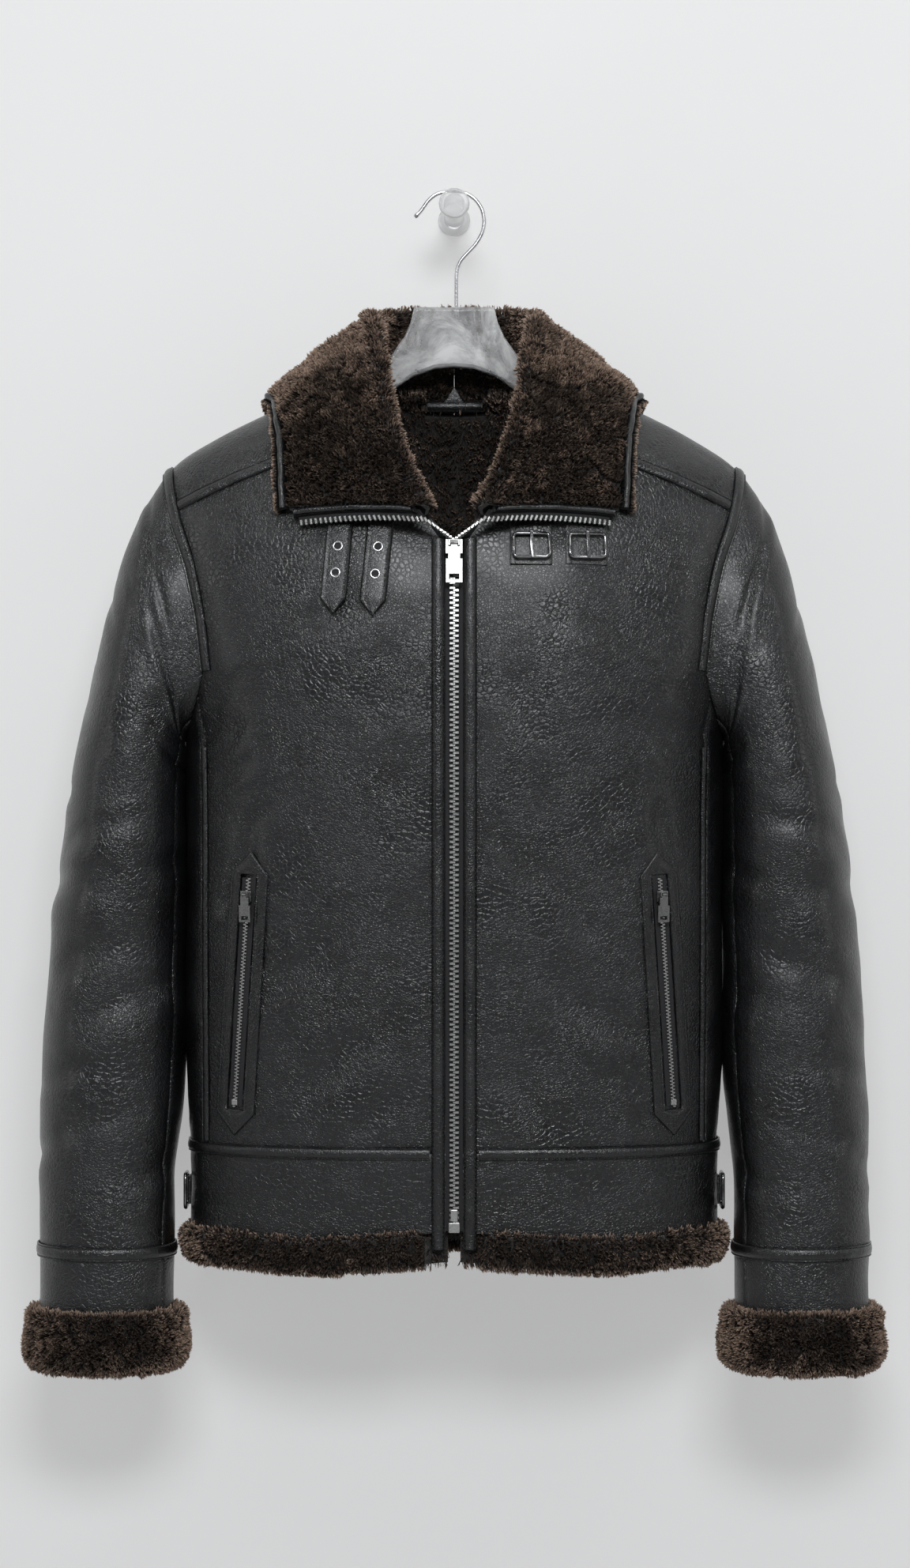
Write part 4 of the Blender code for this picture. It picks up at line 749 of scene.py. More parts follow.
def smoothed(rows, times):
    """Rows drawn towards their neighbours; the first and last stay."""
    for _ in range(times):
        rows[1:-1] = 0.25 * rows[:-2] + 0.5 * rows[1:-1] + 0.25 * rows[2:]
    return rows


def circle(centre, across, up, radius, count):
    turns = 2 * pi * np.arange(count)[:, None] / count
    return centre + radius * (across * np.cos(turns) + up * np.sin(turns))


def flip(points, sign):
    return points * np.array([sign, 1, 1])


def add_mesh(name, verts, faces, materials, replaces=(), face_slots=None, smooth=60.0):
    """A piece that rides on the coat, smooth but for edges sharper than an angle."""
    mesh = bpy.data.meshes.new(name)
    faces = faces if isinstance(faces, list) else faces.tolist()
    mesh.from_pydata((np.asarray(verts) * MM).tolist(), [], faces)
    for each in materials:
        mesh.materials.append(each)
    if face_slots is not None:
        mesh.polygons.foreach_set("material_index", np.asarray(face_slots, dtype=np.int32))
    mesh.shade_smooth()
    if smooth:
        mesh.set_sharp_from_angle(angle=radians(smooth))
    made = bpy.data.objects.new(name, mesh)
    bpy.context.scene.collection.objects.link(made)
    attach(made, ROOT)
    if replaces:
        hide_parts(*replaces)
    return made


def grid_quads(rows, columns, wrap=False):
    """Quads of a grid of points given by rows of columns."""
    across = columns if wrap else columns - 1
    j, i = np.meshgrid(np.arange(rows - 1), np.arange(across), indexing="ij")
    here, beside = j * columns + i, j * columns + (i + 1) % columns
    return np.stack([here, beside, beside + columns, here + columns], -1).reshape(-1, 4)


def inside_out(verts, quads):
    """Whether a closed mesh, but for its end caps, faces inwards."""
    a, b, c, d = (verts[quads[:, k]] - verts.mean(axis=0) for k in range(4))
    return np.sum(a * (np.cross(b, c) + np.cross(c, d))) < 0


def shell(name, outer, inner, materials, replaces=()):
    """A closed sheet from grids of outer and inner points (rows, columns, 3)."""
    rows, columns = outer.shape[:2]
    quads = grid_quads(rows, columns)
    total = rows * columns
    number = np.arange(total).reshape(rows, columns)
    border = np.concatenate([number[0, ::-1], number[1:, 0], number[-1, 1:], number[-2::-1, -1]])
    rim = np.stack([border[:-1], border[1:], border[1:] + total, border[:-1] + total], axis=1)
    faces = np.vstack([quads, quads[:, ::-1] + total, rim])
    back = int(len(materials) > 1)
    slots = np.concatenate([np.zeros(len(quads)), np.full(len(quads), back), np.zeros(len(rim))])
    points = np.vstack([outer.reshape(-1, 3), inner.reshape(-1, 3)])
    if inside_out(points, faces):
        faces = faces[:, ::-1]
    return add_mesh(name, points, faces, materials, replaces, slots)


def tube(name, points, material, closed=False, replaces=(), smooth=60.0):
    """A closed mesh through rings of points (rings, points a ring, 3), capped unless the rings close."""
    rows, columns = points.shape[:2]
    verts = points.reshape(-1, 3)
    quads = grid_quads(rows, columns, wrap=True)
    if closed:
        here = np.arange(columns)
        beside, last = (here + 1) % columns, (rows - 1) * columns
        quads = np.vstack([quads, np.stack([last + here, last + beside, beside, here], axis=1)])
    faces = quads.tolist()
    if not closed:
        faces.append(list(range(columns))[::-1])
        faces.append(list(range((rows - 1) * columns, rows * columns)))
    if inside_out(verts, quads):
        faces = [face[::-1] for face in faces]
    return add_mesh(name, verts, faces, [material], replaces, smooth=smooth)


def cell_areas(grid):
    """Twice the area of each cell of a grid."""
    a, b, c, d = grid[:-1, :-1], grid[:-1, 1:], grid[1:, 1:], grid[1:, :-1]
    return np.linalg.norm(np.cross(b - a, d - a), axis=-1) + np.linalg.norm(np.cross(b - c, d - c), axis=-1)


def smooth_noise(points, size, seed, octaves=2):
    """Soft random values from about -1 to 1 at points (..., 3), varying over size, mm."""
    own = np.random.default_rng(seed)
    total = np.zeros(points.shape[:-1])
    for octave in range(octaves):
        for _ in range(7):
            direction = own.normal(size=3)
            direction /= np.linalg.norm(direction)
            wave = 2 * pi / (size * own.uniform(0.7, 1.6) / 2**octave)
            total += np.sin(points @ direction * wave + own.uniform(0, 2 * pi)) * 0.5**octave
    return total / 3.2


# Leather panels

def crease_field(u, v, rows, seed):
    """Depth at flat places (mm) from listed creases: ends, half width, depth (minus is a trough)."""
    own = np.random.default_rng(seed)
    depth = np.zeros_like(u)
    for u0, v0, u1, v1, width, height in rows:
        length = np.hypot(u1 - u0, v1 - v0)
        a, b = (u1 - u0) / length, (v1 - v0) / length
        along = (u - u0) * a + (v - v0) * b
        off = -(u - u0) * b + (v - v0) * a
        share = along / length
        bend = own.uniform(-0.09, 0.09) * length
        off = off - bend * 4 * share * (1 - share)
        off -= width * 0.5 * np.sin(along / (width * 2.6) + own.uniform(0, 6))
        height = height * (1.45 if width > 6 else 1.1)
        swell = 0.75 + 0.25 * np.sin(along / (width * 1.9) + own.uniform(0, 6))
        ends = np.clip(share / 0.28, 0, 1) * np.clip((1 - share) / 0.28, 0, 1)
        ends = ends * ends * (3 - 2 * ends)
        sharp = np.where(off > 0, width, width * 0.62)
        trough = np.exp(-(off / sharp) ** 2)
        ridge = 0.55 * np.exp(-((off - 1.7 * width) / (1.1 * width)) ** 2)
        depth += height * swell * ends * (trough - ridge)
    return depth


def edge_params(count, length, near=(1.0, 3.2)):
    """Even places from 0 to 1 with extra ones close to both ends."""
    close = [n / length for n in near]
    middle = np.linspace(0, 1, count + 1)[1:-1]
    middle = middle[(middle > close[-1] * 1.5) & (middle < 1 - close[-1] * 1.5)]
    return np.concatenate([[0], close, middle, [1 - c for c in reversed(close)], [1]])


def resample(edge, params):
    return sample(params, np.linspace(0, 1, len(edge)), edge)


def fine_patch(edges, us, vs):
    """The patch's (angle, height) grid at finer places."""
    bottom, right, top, left = edges
    bottom, top = resample(bottom, us), resample(top, us)
    right, left = resample(right, vs), resample(left, vs)
    u, v = us[None, :, None], vs[:, None, None]
    rails = bottom[None] * (1 - v) + top[None] * v + left[:, None] * (1 - u) + right[:, None] * u
    corners = (bottom[0] * (1 - u) + bottom[-1] * u) * (1 - v) + (top[0] * (1 - u) + top[-1] * u) * v
    return rails - corners


def seam_dip(us, vs, length_u, length_v, sides=(1, 1, 1, 1)):
    """How far the face rolls in along the edges that are seams (left, right, low, high)."""
    u, v = us[None, :] * length_u, vs[:, None] * length_v
    near = np.full((len(vs), len(us)), 99.0)
    for on, far in zip(sides, (u, length_u - u, v, length_v - v)):
        if on:
            near = np.minimum(near, far)
    return -1.15 * np.exp(-(near / 1.5) ** 2)


def surface_grid(rows, columns, place):
    """Points and outward directions of a grid, from a function of row and column."""
    points = np.zeros((rows, columns, 3))
    normals = np.zeros_like(points)
    for j in range(rows):
        for i in range(columns):
            points[j, i], normals[j, i] = place(j, i)
    return points, normals


# Creases, mm in the front view: from x, z to x, z (x away from the centre line), half width, depth

FRONT_CREASES = {
    -1: (
        (165, -600, 62, -520, 13, -2.4), (120, -690, 30, -610, 15, -2.6), (60, -560, 22, -500, 8, -1.2),
        (150, -480, 120, -400, 10, -1.4), (175, -560, 150, -450, 9, -1.4), (90, -700, 40, -660, 7, -1.3),
        (40, -705, 19, -640, 4, -0.9), (55, -695, 28, -650, 4.5, -1.0), (75, -400, 35, -330, 16, -1.1),
        (180, -420, 150, -395, 5, -1.1), (182, -440, 140, -425, 5.5, -1.2), (184, -385, 158, -360, 5, -0.9),
        (60, -450, 25, -420, 9, -0.8), (130, -330, 70, -300, 14, -0.9), (110, -620, 80, -560, 10, -1.2),
    ),
    1: (
        (150, -640, 40, -560, 14, -2.4), (110, -560, 28, -480, 11, -2.0), (95, -700, 32, -640, 12, -2.2),
        (178, -520, 150, -440, 9, -1.3), (60, -700, 22, -672, 5, -1.1), (35, -690, 19, -620, 4, -0.9),
        (165, -690, 120, -655, 8, -1.2), (182, -430, 146, -402, 5, -1.2), (184, -392, 160, -366, 5, -1.0),
        (80, -420, 40, -350, 15, -1.1), (140, -350, 90, -310, 13, -0.9), (70, -520, 24, -470, 8, -0.9),
        (120, -470, 95, -410, 10, -0.9), (45, -600, 22, -560, 6, -0.8),
    ),
}
BACK_CREASES = (
    (20, -300, 150, -360, 14, -1.5), (30, -420, 165, -470, 16, -1.8), (15, -560, 140, -500, 15, -1.6),
    (60, -690, 160, -620, 12, -1.8), (25, -640, 90, -700, 10, -1.2), (175, -420, 120, -400, 7, -1.2),
    (180, -445, 130, -440, 7, -1.2), (90, -250, 170, -300, 12, -1.1), (40, -190, 120, -215, 12, -0.8),
)
# Creases on a sleeve, mm: round from the front seam, down from the shoulder
SLEEVE_CREASES = (
    (-60, 30, 40, 60, 9, -1.5), (-20, 55, 70, 95, 10, -1.6), (40, 85, 95, 120, 8, -1.3),
    (-70, 120, -10, 150, 9, -1.2),
    (-40, 330, 60, 300, 12, -2.2), (-70, 370, 40, 345, 13, -2.6), (-30, 410, 80, 395, 12, -2.2),
    (0, 450, 100, 425, 11, -1.8), (-80, 300, -30, 285, 9, -1.5), (40, 350, 120, 330, 10, -1.5),
    (-60, 490, 30, 478, 8, -1.5), (-20, 515, 70, 508, 7, -1.4), (-80, 540, -10, 532, 7, -1.3),
    (30, 545, 110, 538, 7, -1.2),
    (-100, 200, -40, 240, 14, -1.2), (60, 180, 110, 240, 14, -1.2), (-10, 230, 30, 290, 16, -1.1),
    (-150, 330, -90, 350, 10, -1.8), (-170, 400, -100, 390, 10, -1.6), (-160, 500, -90, 490, 8, -1.3),
    (150, 320, 210, 350, 11, -1.6), (140, 410, 220, 400, 11, -1.6), (160, 500, 230, 510, 9, -1.2),
)


# Front and back panels: columns, width (mm), seeds of creases, wrinkles and swell, wrinkles and their box,
# size of the swell (mm), and which edges are seams
PANEL_HEIGHT = 500
PANELS = (
    ("front", FRONT, 46, 195, (11, 31, 3), 46, (25, -700, 185, -320), 70, (1, 1, 1, 1)),
    ("back", BACK, 44, 190, (21, 41, 4), 40, (20, -700, 185, -240), 80, (1, 0, 1, 1)),
)


def wrinkles(u, v, seed, count, box, width=(2.2, 4.5), depth=(0.25, 0.6)):
    """Small random wrinkles inside a box (u0, v0, u1, v1), mostly level."""
    own = np.random.default_rng(seed)
    rows = []
    for _ in range(count):
        u0, v0 = own.uniform(box[0], box[2]), own.uniform(box[1], box[3])
        turn, length = own.normal(0, 0.45), own.uniform(18, 46)
        rows.append((u0, v0, u0 + length * cos(turn), v0 + length * sin(turn),
                     own.uniform(*width), -own.uniform(*depth)))
    return crease_field(u, v, rows, seed)


def lean_on(z):
    """How far body and sleeve each swell to rest on one another at a height, mm."""
    return np.interp(-z, (366, 388, 410, 440, 530, 590, 650, 705), (0, 1.5, 2.2, 2.4, 2.6, 3.4, 3.8, 0))


def skin_piece(name, node, points, normals, move, sign):
    """A panel for a node: leather face, fur back, in one closed sheet."""
    outer = flip(points + normals * move[..., None], sign)
    inner = flip(points - normals * (WALL - 0.5), sign)
    shell(f"{name}_skin", outer, inner, [LEATHER, FUR_SKIN], [node])


def make_panels():
    """Fronts and backs up to the yoke."""
    for part, side, across, width, seeds, count, box, swell, seams in PANELS:
        us, vs = edge_params(across, width), edge_params(112, PANEL_HEIGHT)
        places = fine_patch(panel_edges(side), us, vs)
        points, normals = surface_grid(len(vs), len(us), lambda j, i: skin(*places[j, i], side))
        u, v = points[..., 0], points[..., 2]
        fade = np.clip(np.minimum(us, 1 - us) * width / 9, 0, 1) if side == FRONT else 1
        for side_name, sign in SIDES:
            creases = FRONT_CREASES[sign] if side == FRONT else BACK_CREASES
            move = crease_field(u, v, creases, seeds[0] + sign) + wrinkles(u, v, seeds[1] + sign, count, box)
            move = (move + 0.5 * smooth_noise(flip(points, sign), swell, seeds[2])) * fade
            move += seam_dip(us, vs, width, PANEL_HEIGHT, seams)
            skin_piece(f"{part}_{side_name}", f"{part}_{side_name}", points, normals, move, sign)


def make_sides():
    """The strip of each back that goes round the side."""
    half, columns = UNDERARM_STEP - SIDE_STEP, 25
    steps = np.linspace(0, 2 * half, columns)
    top = np.array([loop_place(LOOP_STEPS - SIDE_STEP - i)[:2] for i in steps])
    low = np.stack([SIDE_ANGLE + (90 - SIDE_ANGLE) * (1 - np.abs(steps - half) / half),
                    np.full(columns, WAIST_Z)], axis=1)
    us, vs = np.linspace(0, 1, columns), edge_params(68, 306)

    def place(j, i):
        return skin(*(low[i] * (1 - vs[j]) + top[i] * vs[j]), BACK if steps[i] < half else FRONT)
    points, normals = surface_grid(len(vs), columns, place)
    for side_name, sign in SIDES:
        move = 0.5 * smooth_noise(flip(points, sign), 60, 5)
        move += wrinkles(points[..., 1] + 100, points[..., 2], 51 + sign, 22, (-80, -700, 80, -410))
        move += seam_dip(us, vs, 120, 306, (0, 1, 1, 1))
        move += 0.95 * lean_on(points[..., 2]) * np.clip(normals[..., 0], 0, 1) ** 3
        skin_piece(f"side_{side_name}", f"back_{side_name}", points, normals, move, sign)


def make_yokes():
    """Shoulder saddles, over the ridge from the front's seam to the back's."""
    def edge(rows):
        return [(x, ridge_angle(x, z, side)) for x, z, side in rows]
    front, back = [edge([(x, z, side) for x, z in yoke_seam(side)]) for side in (FRONT, BACK)]
    arm = []
    for step in range(YOKE_STEP, -YOKE_STEP - 1, -1):
        angle, z, _ = loop_place(step)
        arm.append((x_of(angle, z), z, FRONT if step >= 0 else BACK))
    arm = edge(arm)
    arm[YOKE_STEP] = (arm[YOKE_STEP][0], 90.0)
    us, vs = edge_params(34, 150), edge_params(30, 110)
    grid = fine_patch((front, arm, back, edge(SHOULDER_NECK)), us, vs)

    def place(j, i):
        x, turn = grid[j, i]
        return skin_x(x, *over_ridge(x, turn))
    points, normals = surface_grid(len(vs), len(us), place)
    for side_name, sign in SIDES:
        move = 0.45 * smooth_noise(flip(points, sign), 55, 6)
        move += wrinkles(points[..., 0], points[..., 1], 61 + sign, 14, (90, -150, 200, -60))
        move += seam_dip(us, vs, 150, 110)
        skin_piece(f"yoke_{side_name}", f"yoke_{side_name}", points, normals, move, sign)


def make_sleeves():
    """Top and under panels; "around" is 0 near the front of the sleeve and larger towards its inner side."""
    length = 620
    for part, first, last, columns, width in (("top", 15, 34, 74, 300), ("under", 10, 15, 22, 90)):
        us, vs = edge_params(columns, width), edge_params(130, length)
        turns = 360.0 * mix(first, last, us) / LOOP_STEPS
        steps = 12.0 * vs**1.04
        points, normals = surface_grid(len(vs), len(us), lambda j, i: sleeve_skin(steps[j], turns[i]))
        around = np.broadcast_to(((turns + 120) % 360 - 180) * 0.95, points.shape[:2])
        down = np.broadcast_to(vs[:, None] * length, points.shape[:2])
        for side_name, sign in SIDES:
            move = crease_field(around, down, SLEEVE_CREASES, 71 + sign)
            move += wrinkles(around, down, 81 + sign, 70, (-170, 20, 170, 600))
            move += 0.6 * smooth_noise(flip(points, sign), 75, 7 + sign)
            move *= np.clip((1 - vs)[:, None] * length / 20, 0, 1)
            move += seam_dip(us, vs, width, length, (1, 1, 1, 0))
            move += 1.05 * lean_on(points[..., 2]) * np.clip(-normals[..., 0], 0, 1) ** 3
            node = f"sleeve_{part}_{side_name}"
            skin_piece(node, node, points, normals, move, sign)


def fine_waist(count):
    """Even places round half the waist, as (angle, side)."""
    table = [angle if side == FRONT else 180 - angle for angle, side in waist_places()]
    fine = np.interp(np.linspace(0, 1, count), np.linspace(0, 1, len(table)), table)
    return [(a, FRONT) if a <= 90 else (180 - a, BACK) for a in fine]


def make_waistband_skin():
    half, vs = fine_waist(92), edge_params(12, 60)
    lows = [band_low_z(angle, side) for angle, side in half]

    def place(j, i):
        angle, side = half[i]
        return skin(angle, mix(WAIST_Z, lows[i], vs[j]), side)
    points, normals = [np.concatenate([flip(grid, -1), grid[:, -2::-1]], axis=1)
                       for grid in surface_grid(len(vs), len(half), place)]
    move = 0.5 * smooth_noise(points, 60, 9)
    around = np.broadcast_to(run_lengths(points[0]), points.shape[:2])
    move += wrinkles(around, points[..., 2], 91, 60, (0, -765, 1000, -720), (2.5, 5), (0.3, 0.8))
    move -= 1.1 * np.exp(-(vs[:, None] * 60 / 1.5) ** 2)
    skin_piece("waistband", "waistband", points, normals, move, 1)


# Strips and stitching

# Sections: a strip's half widths and heights, a pad's, and a welt's from its outline in to its window
STRIP_PROFILE = np.array([(-1.0, 0.0), (-1.0, 0.6), (-0.9, 1.05), (-0.77, 0.62), (-0.62, 1.05), (-0.3, 1.4),
                          (0, 1.5), (0.3, 1.4), (0.62, 1.05), (0.77, 0.62), (0.9, 1.05), (1.0, 0.6), (1.0, 0.0)])
PAD_COLUMNS = np.array([-1, -1, -0.9, -0.76, -0.6, -0.3, 0, 0.3, 0.6, 0.76, 0.9, 1, 1.0])
PAD_RISE = np.array([0, 0.6, 1.0, 0.72, 0.82, 0.86, 0.86, 0.86, 0.82, 0.72, 1.0, 0.6, 0.0])
WELT_LEVELS = ((0.0, 0.0), (0.03, 1.0), (0.10, 1.55), (0.18, 1.3), (0.3, 1.5), (0.6, 1.6), (0.8, 1.5),
               (0.86, 1.25), (0.93, 1.75), (1.0, 1.2), (1.0, 0.0))
stitch_lines = []


def stitches(points, outs, pitch=3.2, closed=False):
    """Note down stitches evenly along a line of points."""
    if closed:
        points, outs = np.vstack([points, points[:1]]), np.vstack([outs, outs[:1]])
    at = run_lengths(points)
    marks = np.arange(pitch / 2, at[-1], pitch)
    if at[-1] >= pitch * 2:
        way = sample(marks + 0.5, at, points) - sample(marks - 0.5, at, points)
        stitch_lines.append((sample(marks, at, points), way, sample(marks, at, outs)))


def make_stitching():
    """One bead for each stitch noted: two ends, a top pair and two sides."""
    place, way, out = (np.vstack(rows) for rows in zip(*stitch_lines))
    way, out = directions(way), directions(out)
    across = directions(np.cross(way, out))
    corners = [way * 1.15 - out * 0.25, -way * 1.15 - out * 0.25, way * 0.5 + out * 0.32,
               -way * 0.5 + out * 0.32, across * 0.34, -across * 0.34]
    verts = np.stack([place + c for c in corners], axis=1).reshape(-1, 3)
    tris = np.array([(0, 4, 2), (2, 4, 3), (3, 4, 1), (0, 2, 5), (2, 3, 5), (3, 1, 5), (0, 5, 4), (1, 4, 5)])
    faces = (tris[None] + 6 * np.arange(len(place))[:, None, None]).reshape(-1, 3)
    add_mesh("stitching", verts, faces, [THREAD], smooth=None)


def strip(node, frames, width, thick, lift, seed, sign=1, closed=False, rows=(1, 1)):
    """A node's padded strip, with rolled edges and a row of stitches near each side."""
    points, across, outs = (np.array(part) for part in zip(*frames))
    puff = 1 + 0.12 * smooth_noise(points, 16, seed)
    outer = points[:, None] + across[:, None] * (STRIP_PROFILE[None, :, :1] * width / 2)
    outer = outer + outs[:, None] * (lift + STRIP_PROFILE[None, :, 1:] * thick * puff[:, None, None])
    outer, outs = flip(outer, sign), flip(outs, sign)
    made = tube(f"{node}_sewn", outer, TRIM, closed, [node])
    for on, column in zip(rows, (3, 9)):
        if on:
            stitches(outer[:, column] + outs * 0.12, outs, closed=closed)


def armhole_frames(width):
    """Frames along the body's side of the armhole seam, seated on the body."""
    places = []
    for step in np.arange(-8, 8.01, 0.25):
        point, normal = loop_skin(step)
        inward = unit(np.cross(normal, loop_skin(step + 1)[0] - loop_skin(step - 1)[0]))
        if inward[0] > 0:
            inward = -inward
        moved = point + inward * (width / 2 + 0.3)
        if abs(step) < 0.01:
            seat, out = skin_x(moved[0], None, FRONT)
        else:
            height = min(moved[2], ridge_z(moved[0]) - 0.01)
            seat, out = skin_x(moved[0], height, FRONT if step > 0 else BACK)
            if abs(seat[1] - point[1]) > width:
                seat, out = moved, normal
        places.append((seat, out))
    return frames_along(places)


def make_strips():
    heights = side_heights()
    for side_name, sign in SIDES:
        strip(f"armhole_strip_{side_name}", armhole_frames(10.0), 9.4, 1.5, LIFT, 3, sign)
        seam = seam_run([skin_x(x, z, FRONT) for x, z in yoke_seam(FRONT)], 0.46, 0.935, 30)
        strip(f"yoke_strip_{side_name}", frames_along(seam), 9, 1.3, 0.7, 4, sign)
        places = []
        for z in np.linspace(WAIST_Z + 6, heights[-2], 70):
            share = (z - WAIST_Z) / (heights[-1] - WAIST_Z)
            places.append(skin(mix(SIDE_ANGLE, loop_place(SIDE_STEP)[0], share), z, FRONT))
        strip(f"side_strip_{side_name}", frames_along(places), 7, 1.2, LIFT, 5, sign)
        waist = [skin(angle, WAIST_Z, side) for angle, side in fine_waist(150)]
        waist = [w for w in waist if w[0][0] > PLACKET_EDGE_X + 0.7 or w[0][1] > BODY_CENTRE_Y]
        last, out = waist[-1]
        waist[-1] = (last + np.array([0.3, 0, 0]), out)
        strip(f"waist_strip_{side_name}", frames_along(waist), 8.6, 1.4, LIFT, 6, sign)
        places = [skin_x(11.7, z, FRONT) for z in np.linspace(-262, PLACKET_END_Z, 130)]
        strip(f"placket_{side_name}", frames_along(places), 9.6, 1.6, LIFT, 7, sign)
        places = [sleeve_skin(sum(CUFF_STRIP_STEPS) / 2, turn) for turn in np.arange(0, 360, 4.0)]
        places = [(point, UP, unit(normal)) for point, normal in places]
        strip(f"cuff_strip_{side_name}", places, 10, 1.3, 0.8, 8, sign, closed=True)


# Fur

def fur(name, points, normals, count, length, seed, comb, width=0.72, tuft_size=7.0, weights=1.0):
    """Blades of fur on a grid (rows, columns, 3): tapered, curved and drawn into tufts."""
    own = np.random.default_rng(seed)
    area = cell_areas(points) * np.broadcast_to(weights, points.shape[:2])[:-1, :-1]
    chance = (area / area.sum()).ravel()
    j, i = np.divmod(own.choice(len(chance), size=count, p=chance), area.shape[1])
    u, v = own.random(count)[:, None], own.random(count)[:, None]

    def blend(grid):
        low, high = (grid[row, i] * (1 - u) + grid[row, i + 1] * u for row in (j, j + 1))
        return low * (1 - v) + high * v
    root, out = blend(points), directions(blend(normals))
    # each blade's tip leans to the middle of its tuft
    amount = max(int(area.sum() / 2 / tuft_size**2), 8)
    seeds = root[own.choice(count, size=min(amount, count), replace=False)]
    tree = kdtree.KDTree(len(seeds))
    for index, seed_point in enumerate(seeds):
        tree.insert(Vector(seed_point), index)
    tree.balance()
    mine = np.array([tree.find(Vector(p))[1] for p in root])
    lean = own.normal(size=(len(seeds), 3)) * 0.2
    tone = own.random(len(seeds))
    tall = own.uniform(0.82, 1.12, len(seeds))
    way = directions(out + np.array(comb) + lean[mine] + own.normal(size=(count, 3)) * 0.22)
    tall = (length * tall[mine] * own.uniform(0.72, 1.08, count))[:, None]
    tip = (root + way * tall) * 0.8 + (seeds[mine] + (out + lean[mine] * 0.6) * tall) * 0.2
    # tips keep off the skin
    rise = np.sum((tip - root) * out, axis=1)[:, None]
    tip += out * np.clip(0.45 * tall - rise, 0, None)
    middle = (root + tip) * 0.5 + out * (0.14 * tall) + own.normal(size=(count, 3)) * (0.13 * tall)
    across = directions(np.cross(tip - root, own.normal(size=(count, 3))))
    across *= width / 2 * own.uniform(0.7, 1.3, count)[:, None]
    low = root - out * 0.6
    verts = np.stack([low - across, low + across, middle + across * 0.9, tip], axis=1).reshape(-1, 3)
    base = 4 * np.arange(count)[:, None]
    made = add_mesh(name, verts, np.vstack([base + [0, 1, 2], base + [0, 2, 3]]), [FUR], smooth=None)
    # painted rim light: blades rooted where the skin turns side-on to the front view are made paler, standing in
    # for light caught at the silhouette; the rest is random tuft tone
    rim = np.clip(1.3 - 1.45 * np.abs(out[:, 1]), 0, 1)
    tuft_shade_with_rim_light = tone[mine] * 0.45 + own.random(count) * 0.35 + rim
    for kind, values in (("tip", np.tile([0.0, 0.0, 0.55, 1.0], count)), ("tuft_tone_and_rim_light", np.repeat(tuft_shade_with_rim_light, 4))):
        made.data.attributes.new(kind, "FLOAT", "POINT").data.foreach_set("value", values)
    return made


def make_collar_fur():
    """The collar's hide, its pile and fringe, the leather binding and the facing along the zip."""
    rails = collar_rails()
    coarse = np.array([collar_profile(rails, t) for t in np.linspace(0, 1, 90)])
    at, fine = np.linspace(0, 1, coarse.shape[1]), np.linspace(0, 1, 34)
    centre = np.array([smoothed(sample(fine, at, row), 2) for row in coarse])
    normal = grid_normals(centre)
    if np.mean(normal[:20, -3, 1]) > 0:
        normal = -normal
    for side_name, sign in SIDES:
        own_centre, own_normal = flip(centre, sign), flip(normal, sign)
        wave = 0.9 * smooth_noise(own_centre, 38, 14 + sign)[..., None]
        outer = own_centre + own_normal * (0.2 + wave)
        inner = own_centre - own_normal * 3.4
        collar = f"collar_{side_name}"
        base = shell(f"{collar}_hide", outer, inner, [FUR_SKIN, LEATHER], [collar])
        pile = fur(f"{collar}_pile", outer, own_normal, 58000, 7.0, 200 + sign, (0.1 * sign, 0, -0.22))
        # the fringe past the leaf's outer edge
        edge, edge_out = own_centre[:, -1], own_normal[:, -1]
        along = directions(edge - own_centre[:, -2])
        roots = np.stack([edge + along * 7.6 + edge_out * h for h in (-3.6, -1.2, 1.2, 3.2)], axis=1)
        outs = np.stack([along + edge_out * s for s in (-0.5, -0.1, 0.3, 0.7)], axis=1)
        fringe = fur(f"{collar}_fringe", roots, outs, 8500, 5.2, 210 + sign, (0, 0, -0.35), tuft_size=4.5)
        # the leather band inside the fringe
        frames = []
        for t in np.linspace(0, 1, 70):
            point, way, out = collar_edge_places(rails, t, 0.85)
            if t == 1.0:
                flat = np.array([0, 1, 1])
                point = point * flat + np.array([SEAM_GAP, 0, 0])
                way, out = unit(way * flat), unit(out * flat)
            frames.append((point + way * 3.6 + out * 0.6, way, out))
        strip(f"collar_binding_{side_name}", frames, 7.4, 3.4, 0.2, 9, sign, rows=(1, 0))
        ends = [front_end(share) for share in np.linspace(0.18, 0.97, 26)]
        frames = [(point + down * 3.9, -down, out) for point, down, out in ends]
        strip(f"collar_facing_{side_name}", frames, 6.2, 2.4, 0.9, 10, sign, rows=(0, 1))


def ring_surface(rings, section, shrink):
    """Grid round a fur edge: rings are (point, out) and the section is drawn in by shrink."""
    table = np.array(section)
    toward = table.mean(axis=0) - table
    reach = np.linalg.norm(toward, axis=1)[:, None]
    table = table + toward / reach * np.minimum(shrink, reach * 0.8)
    table = np.vstack([table, table[:1]])
    at = run_lengths(table)
    table = sample(np.linspace(0, at[-1], 37)[:-1], at, table)
    for _ in range(2):
        table = 0.25 * np.roll(table, 1, axis=0) + 0.5 * table + 0.25 * np.roll(table, -1, axis=0)
    slope = np.roll(table, -1, axis=0) - np.roll(table, 1, axis=0)
    away = np.stack([slope[:, 1], -slope[:, 0]], axis=1)
    if np.sum(away * (table - table.mean(axis=0))) < 0:
        away = -away
    points = np.array([[point + a * out + b * UP for a, b in table] for point, out in rings])
    normals = np.array([[a * out + b * UP for a, b in away] for _, out in rings])
    return points, directions(normals), table


